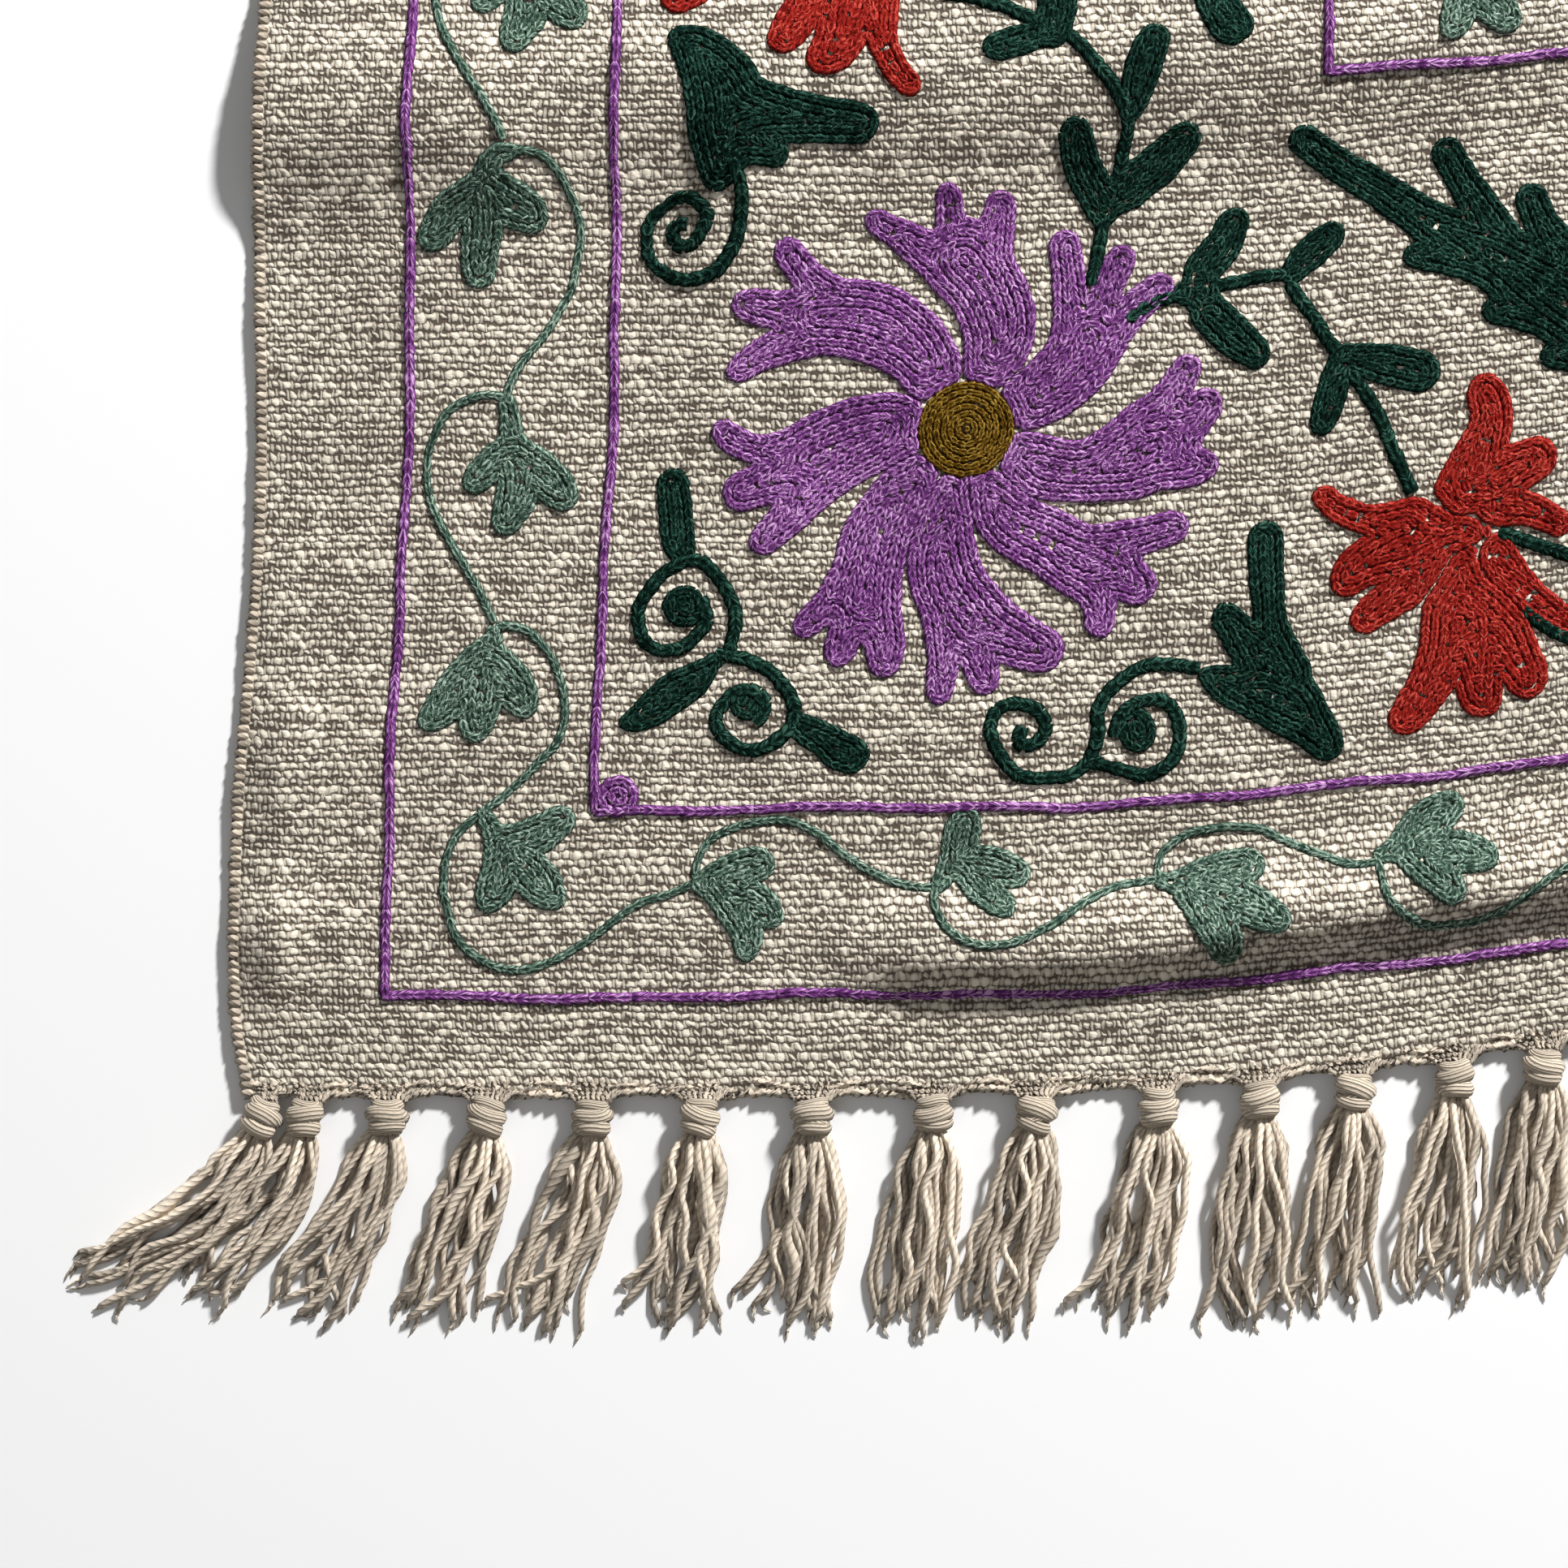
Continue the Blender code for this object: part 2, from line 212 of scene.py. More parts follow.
# Down a tassel: shares of its length, and there half its width, the height of its lowest yarns, and
# how far its topmost yarns lie over these
TASSEL_SHARES = (0.0, 0.08, 0.20, 0.45, 0.80, 1.0)
TASSEL_SPREAD = (2.6, 5.2, 7.4, 8.4, 8.7, 8.0)
TASSEL_LOW = (2.6, 1.6, 1.2, 1.0, 0.9, 0.8)
TASSEL_OVER = (1.4, 4.6, 6.6, 6.4, 4.0, 1.2)
# How its yarns vary: the share of its length that they reach, how far the lower and upper ones stray,
# their long and short kinks, the waves in their height, and the curls, swellings and wisps of their ends
YARN_REACH = (0.82, 1.05)
YARN_STRAY = (0.22, 0.60)
LONG_KINK, LONG_TURNS = (0.4, 1.5), (5, 13)
SHORT_KINK, SHORT_TURNS = (0.2, 0.7), (17, 23)
LIFT, LIFT_TURNS = 0.4, (9, 15)
KINK_ONSET = 5
LIFT_FADE = 4
LOWER_LAYER = (0, 0.2)
UPPER_LAYER = (0.4, 1)
CURL_START = 0.74
CURL = 2.6 / 0.06
SWELLING_CHANCE = 0.14
SWELLING = 0.7
YARN_CHANGE = (0.86, 1.1)
LOWEST_YARN = 0.78
WISP_LENGTH = (1.5, 5.0)
WISP_BEND = 26
# Warp ends that fan into each knot: how far to the side they start and pass the edge, at most and as a
# share of the gap, how deep they start at the fan's sides and how much deeper at its middle
FAN_YARNS = 9
FAN_START = (9.0, 0.40)
FAN_PASS = (6.0, 0.28)
FAN_DEPTH = (1.8, 2.6)
FAN_END = 2.6
# The last picks: distance from the edge, half their thickness, and their step and wander
EDGE_PICKS = ((0.6, 1.35), (2.9, 1.1))
PICK_STEP = 2.2
PICK_WANDER = 0.45
# Wraps of a knot: place along it and slant, both as shares of its length, and half its breadth
KNOT_WRAPS = table("at slant breadth", (
    (0.14, 0.16, 1.7),
    (0.42, 0.36, 2.3),
    (0.76, 0.22, 2.2),
    (0.60, -0.50, 1.3),
))
# A knot's fullness, of its core and of its wraps: at its ends, and the rise from there to its middle
KNOT_CORE = (0.50, 0.38)
WRAP_BULGE = (0.62, 0.34)
BULGE_POWER = 0.8
# Tone of a knot's core: darker than its wraps, as painted shade where it shows between them
CORE_PAINTED_SHADE_TONE = 0.30
# A weft turn at the selvedge: distance in from the edge, how much of its random reach it takes there,
# and height over the cloth's middle
TURN_INSET = np.array([2.4, 0.8, 0, 0, 1.4])
TURN_REACH = np.array([0, 0, -1, -0.6, 0])
TURN_RISE = np.array([0.8, 1.1, 0.4, -0.5, -0.8])

# The border lines: distance from the side edges, and from the ends
OUTER_LINE = (37.8, 25.5)
INNER_LINE = (88.2, 71.5)
FRAME_LINE = (263.0, 248.0)
# Their waver: how far, and over what length at the ends and at the sides
WAVERS = table("sway at_end at_side", ((0.5, 19, 23), (0.3, 7, 8)))
BORDER_STEP = 4.0
ROSETTE_CENTRE = (94.0, 75.0)
ROSETTE_RINGS = (4.1, 1.9)
DISC_CENTRE = (176.0, 165.0)
DISC_RADIUS = 12.2
PETAL_OVERLAP = 0.5
RED_PIVOT = (298, 130)
VINE_SWELL = 12

# Each thread's colours, from the painted shade of its hollows to its lightest colour, partly painted
# highlight, on the tops of its strands, and the shares where they stand
THREAD_STOPS = (0.0, 0.35, 0.68, 1.0)
THREADS = {
    "purple": ((0.010, 0.002, 0.014), (0.098, 0.024, 0.122), (0.250, 0.078, 0.278), (0.57, 0.34, 0.59)),
    "red": ((0.016, 0.001, 0.001), (0.165, 0.007, 0.005), (0.29, 0.016, 0.011), (0.50, 0.075, 0.055)),
    "green": ((0.0003, 0.001, 0.0008), (0.0015, 0.009, 0.006), (0.005, 0.026, 0.018), (0.038, 0.100, 0.072)),
    "sage": ((0.003, 0.007, 0.005), (0.028, 0.055, 0.040), (0.092, 0.155, 0.114), (0.34, 0.44, 0.36)),
    "olive": ((0.004, 0.002, 0.001), (0.056, 0.027, 0.002), (0.145, 0.074, 0.006), (0.31, 0.20, 0.04)),
}

# Room, in metres, and a view whose pixels are 0.2 mm, with the frame's corner where the photograph has it
FLOOR_REACH = 12.0
LAMPS = table("name place size power", (
    ("key", (1.5, 2.2, 1.54), 0.35, 238),
    ("fill", (-1.8, -1.2, 2.4), 2.5, 6),
))
SKY_STRENGTH = 0.22
PIXEL = 0.0002
VIEW_PIXELS = 1932
FRAME_CORNER_AT = (1635, 95)
VIEW_LEVEL = 0.004
LENS = 85.0
SENSOR = 36.0

# The design of the near left quarter. A filled form is a row of regions, a region a row of strokes,
# and a stroke a row of points (across, along, half its width). LEAVES has one region to each form,
# and the points of stems and of the vine are (across, along).
PETALS = (
    (((179, 175, 6), (183, 185, 7.6), (183, 192, 8.8), (179, 201, 9.2), (174, 207, 10)),
     ((171, 206, 6), (165, 209, 4.8), (159, 213, 3.4), (152, 217, 2.4)),
     ((172, 207, 4.8), (171, 215, 3.4), (170, 223, 2.8)),
     ((180, 206, 5.6), (182, 214, 4.2), (183, 220, 3.6))),
    (((185, 170, 6.8), (195, 174, 7.6), (202, 180, 8.4), (206, 187, 8.8)),
     ((202, 186, 5.2), (201, 196, 4), (200, 204, 3.6), (199, 210, 3.6)),
     ((207, 190, 4.4), (210, 199, 3.4), (213, 206, 3.4)),
     ((211, 188, 4.8), (217, 194, 3.8), (223, 199, 3.2))),
    (((185, 159, 6.8), (196, 155, 7.2), (207, 154, 7.2), (217, 157, 10), (224, 160, 10)),
     ((218, 163, 6), (226, 171, 4.2), (230, 178, 3.4)),
     ((226, 163, 6.8), (232, 166, 4.8), (235, 169, 4)),
     ((224, 156, 7.2), (231, 154, 4.8), (235, 154, 3.6))),
    (((180, 153, 6.8), (188, 142, 7.2), (197, 137, 7.6), (207, 131, 8.4), (214, 130, 6.8)),
     ((207, 134, 6), (219, 137, 4.2), (228, 139, 3.8)),
     ((213, 130, 6.4), (218, 126, 4.8), (220, 125, 4.4)),
     ((203, 130, 5.2), (210, 123, 3.8), (211, 116, 3.2))),
    (((173, 151, 6.8), (171, 139, 7.6), (173, 127, 8.8), (180, 117, 9.2)),
     ((173, 119, 5.6), (173, 109, 3.8), (172, 100, 2.8)),
     ((180, 115, 6), (182, 107, 4.2), (183, 103, 3.6)),
     ((184, 116, 7.2), (192, 112, 6), (197, 110, 5.2))),
    (((166, 154, 6.8), (160, 147, 7.6), (155, 139, 8), (153, 130, 8.4), (152, 123, 9.2)),
     ((148, 127, 5.2), (143, 121, 3.6), (138, 117, 3)),
     ((151, 121, 5.6), (148, 114, 3.8), (147, 110, 3.2)),
     ((155, 121, 6), (158, 113, 4.6), (158, 108, 3.8))),
    (((166, 165, 7.2), (157, 165, 8.8), (147, 162, 10), (138, 157, 10.4)),
     ((138, 161, 6.4), (128, 160, 3.6), (120, 162, 3), (116, 165, 2.8)),
     ((135, 156, 7.2), (126, 152, 5), (121, 150, 4.4)),
     ((138, 151, 6), (132, 143, 4.2), (127, 138, 3.4))),
    (((170, 175, 6.8), (163, 185, 8.4), (154, 191, 9.6), (144, 193, 9.2), (138, 193, 8.8)),
     ((141, 198, 5.2), (135, 204, 3.6), (131, 209, 3.4)),
     ((137, 194, 5.6), (127, 195, 4.2), (121, 196, 3.6)),
     ((137, 189, 5.2), (127, 185, 3.8), (119, 180, 2.8))),
)
RED_PETALS = (
    (((299, 139, 8), (303, 149, 6.4), (306, 158, 4.8), (305, 164, 4.4), (304, 166, 4.2)),
     ((302, 140, 7.2), (309, 144, 6.4), (316, 147, 5.4), (317, 147, 5.2)),
     ((305, 136, 5.2), (313, 136, 4), (320, 133, 3.2), (324, 130, 2.8))),
    (((298, 131, 9.2), (297, 131, 8.8)),
     ((295, 135, 6.8), (286, 136, 4.8), (277, 137, 3.4), (270, 140, 2.8), (265, 144, 2.6)),
     ((294, 130, 8), (284, 129, 6.8), (275, 126, 5.4), (272, 123, 4.2)),
     ((295, 125, 7.2), (286, 119, 5.2), (280, 115, 4.2), (277, 113, 3.8))),
    (((300, 122, 9.2), (300, 110, 8.8), (296, 99, 6), (290, 89, 4.8), (288, 87, 4.2)),
     ((303, 110, 8.8), (305, 97, 6), (306, 91, 5), (307, 89, 4.4)),
     ((305, 114, 7.2), (312, 103, 6), (317, 94, 4.8), (318, 92, 4.2))),
    (((306, 124, 6.8), (314, 116, 4.4), (322, 109, 3.2), (331, 102, 2.6)),),
)
HOOK_LEAF = (
    (((104, 261, 3.2), (108, 258, 5.6), (113, 251, 8.4), (116, 243, 9.6)),
     ((116, 243, 9.6), (126, 242, 6.8), (137, 241, 5.2), (148, 240, 4.4)),
     ((115, 241, 9.2), (114, 232, 6), (113, 227, 3.2)),
     ((117, 237, 6.8), (125, 234, 4), (127, 233, 3.4))),
)
SCROLL_FINGERS = (
    (((104, 152, 3.6), (105, 145, 3.8), (106, 138, 3.6), (107, 134, 2.4)),),
    (((117, 109, 1.6), (115, 107, 1.8), (112, 104, 3.6), (107, 101, 4.4), (102, 97, 4), (98, 94, 2.8),
      (95, 93, 1.6)),),
    (((137, 93, 2.2), (140, 91, 3.2), (144, 89, 3.6), (148, 86, 4.4), (151, 85, 4.4)),),
    (((108, 122, 4.8), (109, 121, 4)),),
    (((125, 98, 4),),),
)
SCROLL_LEAF = (
    (((251, 135, 4), (252, 124, 3.8), (253, 115, 3.6), (255, 107, 4.8), (257, 100, 6.8)),
     ((242, 116, 3.2), (247, 110, 4.4), (253, 103, 6.4)),
     ((238, 102, 2), (244, 99, 4.4), (252, 97, 6.8), (259, 93, 7.2), (264, 88, 5.2), (269, 82, 3.6))),
    (((221, 90, 4.4), (222, 88, 4)),),
)
SPRIG_LEAVES = (
    (((201, 237, 3.6), (203, 229, 4.2), (208, 220, 4.4)),
     ((228, 235, 3.6), (223, 230, 4.6), (214, 223, 4.8)),
     ((209, 220, 4), (208, 216, 2.4))),
    (((214, 241, 2.2), (216, 248, 3.6), (218, 255, 4), (220, 259, 3.6)),),
    (((195, 262, 4), (196, 268, 4.4), (197, 274, 3.8)),
     ((193, 262, 2.4), (188, 260, 3.2), (184, 259, 3.4), (181, 258, 3))),
    (((241, 214, 3.4), (238, 208, 4.2), (233, 202, 4)),
     ((247, 181, 3.6), (241, 186, 4.4), (235, 192, 4.4)),
     ((233, 197, 4.4), (228, 197, 2))),
    (((255, 200, 2.4), (260, 205, 3.8), (265, 209, 3.2)),),
    (((268, 179, 2.4), (278, 176, 4.4), (287, 173, 4.6), (288, 172, 4.2)),
     ((268, 177, 2.8), (266, 169, 3.4), (264, 162, 2.8))),
)
TOP_LEAF = (
    (((232, 272, 2.8), (237, 263, 4.2), (239, 260, 3.4)),),
)
LEAVES = {
    "spray": (((257, 233, 3.2), (265, 227, 3.6), (277, 219, 4), (289, 210, 4.8), (302, 202, 6.8),
               (315, 192, 8.8), (327, 182, 9.2), (338, 173, 6.8), (344, 166, 3.6)),
              ((293, 227, 3.4), (298, 218, 3.6), (304, 208, 4.4), (309, 200, 4.8)),
              ((314, 213, 3.4), (317, 206, 3.8), (323, 196, 4.8)),
              ((286, 202, 3), (295, 200, 3.6), (307, 196, 4.8)),
              ((306, 186, 3.2), (314, 184, 3.8), (324, 180, 4.8)),
              ((321, 173, 3.2), (328, 172, 4), (334, 171, 4.8)),
              ((334, 200, 3.4), (335, 191, 4), (334, 182, 4.8))),
    "a": (((63, 233, 1.8), (59, 232, 2), (57, 229, 2.4)),
          ((57, 227, 3.2), (55, 224, 3.6), (48, 219, 4.4), (44, 213, 3.8)),
          ((57, 226, 3.6), (62, 221, 5), (66, 219, 4.8), (68, 217, 3.4)),
          ((56, 223, 4), (56, 215, 4.4), (55, 208, 4.2), (55, 204, 3.6))),
    "b": (((62, 173, 1.6), (63, 169, 2), (64, 162, 2.8)),
          ((64, 161, 3.6), (59, 157, 3.8), (55, 153, 3.2)),
          ((64, 160, 4.4), (66, 152, 5.2), (63, 143, 3.4)),
          ((66, 159, 4.4), (73, 153, 4.8), (77, 149, 3.4))),
    "c": (((61, 116, 1.6), (61, 113, 2), (60, 111, 2.4)),
          ((59, 110, 3.6), (54, 103, 4.8), (49, 96, 4), (47, 94, 2.8)),
          ((60, 109, 4), (59, 100, 5.2), (58, 92, 3.6)),
          ((61, 109, 4), (67, 102, 4.8), (70, 97, 2.8))),
    "d": (((61, 71, 1.6), (63, 67, 2), (65, 64, 2.8)),
          ((66, 63, 4), (74, 65, 4.4), (80, 69, 3.6)),
          ((67, 61, 4.4), (65, 53, 4.4), (63, 49, 2.8)),
          ((69, 61, 4.8), (75, 54, 4.8), (79, 50, 3))),
    "e": (((114, 53, 1.6), (116, 53, 2), (117, 54, 2.4)),
          ((118, 54, 3.6), (125, 57, 4.4), (129, 58, 4)),
          ((119, 53, 4), (124, 48, 4.8), (127, 41, 3.6), (127, 37, 2.8)),
          ((121, 52, 4), (129, 49, 4), (133, 45, 2.8))),
    "f": (((173, 52, 1.6), (175, 54, 2), (176, 57, 2.4)),
          ((178, 58, 3.2), (179, 64, 4.2), (180, 68, 3.6)),
          ((179, 58, 3.6), (186, 57, 4.4), (193, 55, 3.4)),
          ((180, 57, 3.2), (185, 51, 3.6), (190, 47, 2.8))),
    "g": (((228, 52, 1.6), (231, 51, 2), (234, 51, 2.4)),
          ((235, 51, 3.6), (243, 53, 4.4), (250, 54, 4)),
          ((236, 49, 4), (241, 42, 4.8), (245, 34, 3.6)),
          ((238, 49, 4), (249, 45, 4.8), (257, 40, 3))),
    "h": (((282, 53, 1.6), (285, 54, 2), (287, 55, 2.4)),
          ((289, 56, 4), (294, 60, 5.2), (299, 63, 4)),
          ((290, 54, 4.4), (301, 52, 4.8), (308, 50, 3.2)),
          ((290, 53, 4), (296, 47, 4), (300, 42, 2.8))),
}
STEMS = (
    ((117, 231), (119, 225), (119, 218), (118, 211), (114, 205), (108, 202), (102, 203), (97, 207),
     (96, 212), (97, 217), (101, 221), (105, 223), (109, 221), (111, 218), (109, 213), (106, 210),
     (103, 211), (102, 214), (104, 217), (106, 216)),
    ((108, 133), (104, 131), (100, 127), (97, 122), (97, 118), (98, 114), (102, 111), (106, 111),
     (109, 112), (112, 115), (114, 119), (112, 124)),
    ((108, 133), (112, 133), (116, 129), (119, 125), (121, 120), (121, 116), (120, 112), (119, 110)),
    ((119, 110), (123, 109), (128, 107), (132, 104), (135, 100), (137, 96), (136, 93)),
    ((136, 92), (133, 89), (130, 87), (126, 86), (121, 88), (118, 91), (117, 95), (119, 98), (122, 101),
     (126, 101), (129, 99), (129, 95), (127, 93)),
    ((210, 82), (206, 79), (199, 78), (193, 79), (188, 84), (185, 90), (186, 95), (190, 97), (195, 96),
     (199, 92), (198, 88), (194, 86), (192, 88), (193, 91)),
    ((210, 82), (212, 89), (211, 93), (213, 98), (217, 102), (222, 105), (229, 105), (236, 104)),
    ((210, 82), (214, 81), (219, 79), (224, 78), (229, 80), (232, 84), (232, 89), (230, 94), (226, 97),
     (221, 96), (217, 93), (216, 88)),
    ((208, 216), (208, 212), (207, 207), (206, 200)),
    ((212, 227), (213, 233), (214, 238), (214, 241)),
    ((213, 243), (210, 248), (207, 252), (203, 257), (199, 261)),
    ((193, 264), (184, 268), (175, 271), (168, 272)),
    ((229, 197), (222, 195), (215, 191)),
    ((236, 198), (241, 199), (247, 200), (254, 200)),
    ((255, 198), (258, 193), (263, 186), (267, 180)),
    ((271, 174), (275, 168), (278, 163), (281, 156), (287, 143)),
    ((309, 130), (316, 127), (327, 122), (337, 119)),
    ((316, 110), (323, 104), (331, 100), (339, 99)),
)
VINE = (
    ((45, 271), (48, 259), (54, 247), (62, 235)),
    ((63, 233), (68, 233), (72, 231), (75, 227), (78, 221), (80, 214), (79, 208), (78, 201), (75, 195),
     (70, 187), (65, 181), (62, 174)),
    ((62, 173), (58, 174), (53, 173), (48, 170), (44, 163), (43, 156), (44, 148), (48, 140), (53, 132),
     (58, 124), (61, 118)),
    ((62, 117), (66, 117), (71, 115), (76, 109), (79, 102), (80, 95), (78, 88), (72, 81), (66, 75),
     (61, 71)),
    ((61, 71), (57, 68), (53, 62), (52, 55), (53, 47), (57, 38), (65, 33), (72, 32), (81, 35), (90, 41),
     (99, 48), (108, 51), (113, 53)),
    ((114, 53), (114, 59), (118, 65), (126, 68), (135, 69), (143, 66), (152, 59), (161, 54), (169, 52),
     (173, 52)),
    ((173, 52), (173, 48), (176, 42), (183, 38), (192, 38), (201, 42), (209, 47), (218, 51), (228, 52)),
    ((228, 52), (228, 57), (233, 62), (242, 64), (252, 63), (260, 59), (270, 54), (276, 52), (282, 52)),
    ((282, 52), (283, 46), (286, 40), (294, 35), (304, 34), (313, 36), (321, 41), (329, 45), (338, 46)),
)


# The cloth as it lies

def raised_cosine(s):
    """One at s = 0, and falling smoothly to nothing at s = 1 and beyond."""
    return 0.5 * (1 + np.cos(np.pi * np.minimum(1.0, np.abs(s))))


def fold_height(u, v):
    """Height of the cloth's underside over the surface."""
    height = np.zeros_like(u)
    for fold in FOLDS:
        share = (u - fold["u_start"]) / (fold["u_end"] - fold["u_start"])
        dip = fold["dip"] * raised_cosine((u - fold["dip_at"]) / fold["dip_reach"])
        off = v - (fold["v_start"] + share * (fold["v_end"] - fold["v_start"]) - dip)
        profile = raised_cosine(off / np.where(off < 0, fold["near"], fold["far"]))
        from_end = np.maximum(0.0, np.minimum(u - fold["u_start"], fold["u_end"] - u))
        height += fold["height"] * profile * (1 - raised_cosine(from_end / fold["fade"]))
    for swelling in SWELLINGS:
        turn = math.radians(swelling["turn"])
        off_u, off_v = u - swelling["u"], v - swelling["v"]
        lengthwise = (off_u * math.sin(turn) + off_v * math.cos(turn)) / swelling["long_reach"]
        sideways = (off_u * math.cos(turn) - off_v * math.sin(turn)) / swelling["short_reach"]
        height += swelling["height"] * raised_cosine(np.hypot(lengthwise, sideways))
    for pucker in PUCKERS:
        wave = np.sin(2 * np.pi * (u / pucker["across"] + v / pucker["along"]) + pucker["phase"])
        height += pucker["height"] * (1 + wave)
    return height


def lay(u, v):
    """Where points of the flat cloth lie, in millimetres."""
    from_far = LENGTH - v
    reach = np.where(u < SWAY_CENTRE, SWAY_REACH_LEFT, SWAY_REACH_RIGHT)
    sway = SWAY * np.exp(-(((u - SWAY_CENTRE) / reach) ** 2)) / (1 + (v / SWAY_FADE) ** 2)
    near_lean = NEAR_LEAN * np.exp(-((v / NEAR_LEAN_REACH) ** 2))
    far_lean = FAR_LEAN * np.exp(-((from_far / FAR_LEAN_REACH) ** 2))
    nearness = np.exp(-((np.minimum(v, from_far) / END_DRAW_REACH) ** 2))
    across, along = u - WIDTH / 2, v - LENGTH / 2
    edge = (2 * np.abs(across) / WIDTH) ** EDGE_WAVE_POWER
    wave = EDGE_WAVE * edge * np.sin(2 * np.pi * along / EDGE_WAVE_LENGTH + EDGE_WAVE_SLANT * across / WIDTH)
    x = across * (1 - END_DRAW_IN * nearness) + near_lean + far_lean + wave
    return np.stack([x, along + sway, fold_height(u, v)], axis=-1)


def placed(points):
    """Laid points in metres, in the frame of the CAD."""
    return points * 0.001 + SHIFT


def on_cloth(u, v, lift):
    """Points in metres that stand lift millimetres over the cloth's upper side."""
    reach = 0.6
    here = lay(u, v)
    normal = unit(np.cross(lay(u + reach, v) - here, lay(u, v + reach) - here))
    return placed(here + np.array([0, 0, THICKNESS]) + normal * np.asarray(lift)[..., None])


def find_shift():
    """How far the CAD moved the laid cloth to centre it on its origin."""
    low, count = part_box("ground_cloth")[0], 200
    left = lay(np.zeros(count), np.linspace(END_BAND, LENGTH - END_BAND, count))[:, 0].min()
    near = lay(np.linspace(0, WIDTH, count), np.full(count, END_BAND))[:, 1].min()
    return np.array([low[0] - left * 0.001, low[1] - near * 0.001, 0.0])


# Meshes and materials

def make_piece(name, points, faces, material, flat_map, tone=None):
    """A smooth mesh piece from arrays: points, faces, and the map and tone that each point carries."""
    mesh = bpy.data.meshes.new(name)
    mesh.vertices.add(len(points))
    mesh.vertices.foreach_set("co", np.ascontiguousarray(points, np.float32).ravel())
    corners = faces.astype(np.int32).ravel()
    mesh.loops.add(len(corners))
    mesh.loops.foreach_set("vertex_index", corners)
    mesh.polygons.add(len(faces))
    mesh.polygons.foreach_set("loop_start", np.arange(0, len(corners), faces.shape[1], dtype=np.int32))
    layer = mesh.uv_layers.new(name="FlatMap")
    layer.data.foreach_set("uv", np.asarray(flat_map, np.float32)[corners].ravel())
    if tone is not None:
        mesh.attributes.new("tone", "FLOAT", "POINT").data.foreach_set("value", np.asarray(tone, np.float32))
    mesh.update(calc_edges=True)
    mesh.validate()
    mesh.shade_smooth()
    mesh.materials.append(material)
    piece = add_object(name, mesh)
    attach(piece, "root")
    return piece


class Value:
    """The output of one of a material's nodes, for use in plain sums."""

    def __init__(self, recipe, socket):
        self.recipe, self.socket = recipe, socket

    def __add__(self, other):
        return self.recipe.math("ADD", self, other)

    def __sub__(self, other):
        return self.recipe.math("SUBTRACT", self, other)

    def __mul__(self, other):
        return self.recipe.math("MULTIPLY", self, other)

    def __truediv__(self, other):
        return self.recipe.math("DIVIDE", self, other)

    def __pow__(self, other):
        return self.recipe.math("POWER", self, other)


class Recipe:
    """Builds one material's nodes, one call to a node. What a node is fed may be numbers or Values."""

    def __init__(self, name):
        self.material = bpy.data.materials.new(name)
        self.material.use_nodes = True
        self.tree = self.material.node_tree
        self.shader = self.tree.nodes["Principled BSDF"]

    def feed(self, socket, value):
        if isinstance(value, Value):
            self.tree.links.new(value.socket, socket)
        else:
            socket.default_value = value

    def node(self, kind, values, output=0, **settings):
        """One output of a new node, with values fed to its inputs by their number or name."""
        made = self.tree.nodes.new(kind)
        for key, value in settings.items():
            setattr(made, key, value)
        for key, value in (values.items() if isinstance(values, dict) else enumerate(values)):
            self.feed(made.inputs[key], value)
        return Value(self, made.outputs[output])

    def math(self, operation, *values, clamp=False):
        return self.node("ShaderNodeMath", values, operation=operation, use_clamp=clamp)

    def flat_place(self):
        """The two coordinates of the flat map."""
        place = self.node("ShaderNodeUVMap", (), uv_map="FlatMap")
        return [self.node("ShaderNodeSeparateXYZ", (place,), output) for output in (0, 1)]

    def tone(self):
        return self.node("ShaderNodeAttribute", (), "Fac", attribute_name="tone")

    def noise(self, place, scale, detail=2.0, roughness=0.5):
        values = dict(Vector=self.node("ShaderNodeCombineXYZ", place), Scale=scale, Detail=detail,
                      Roughness=roughness)
        return self.node("ShaderNodeTexNoise", values, "Fac")

    def chance(self, x, y):
        """An even random number for each whole x and y."""
        place = self.node("ShaderNodeCombineXYZ", (x, y))
        return self.node("ShaderNodeTexWhiteNoise", dict(Vector=place), "Value", noise_dimensions="2D")

    def span(self, value, low, high, start=0.0, end=1.0):
        """value, from low to high, taken to start to end and held there."""
        return self.node("ShaderNodeMapRange", (value, low, high, start, end))

    def ramp(self, share, colours):
        """The colour at a share of the way through rows of a place and its colour."""
        made = self.node("ShaderNodeValToRGB", (share,))
        points = made.socket.node.color_ramp.elements
        while len(points) < len(colours):
            points.new(0.5)
        for point, (place, colour) in zip(points, colours):
            point.position = place
            point.color = (*colour, 1.0)
        return made

    def shaded(self, colour, share):
        """The colour, made darker by a share."""
        grey = self.node("ShaderNodeCombineColor", (share, share, share))
        return self.node("ShaderNodeMix", {0: 1.0, 6: colour, 7: grey}, 2, data_type="RGBA",
                         blend_type="MULTIPLY")

    def finish(self, colour, height, distance, roughness=0.92, sheen=0.08, shine=0.15):
        """The material, with its colour and a surface as rough as the height."""
        bump = self.node("ShaderNodeBump", dict(Strength=1.0, Distance=distance, Height=height))
        looks = {"Base Color": colour, "Roughness": roughness, "Specular IOR Level": shine,
                 "Sheen Weight": sheen, "Sheen Roughness": 0.6, "Normal": bump}
        for name, value in looks.items():
            self.feed(self.shader.inputs[name], value)
        return self.material


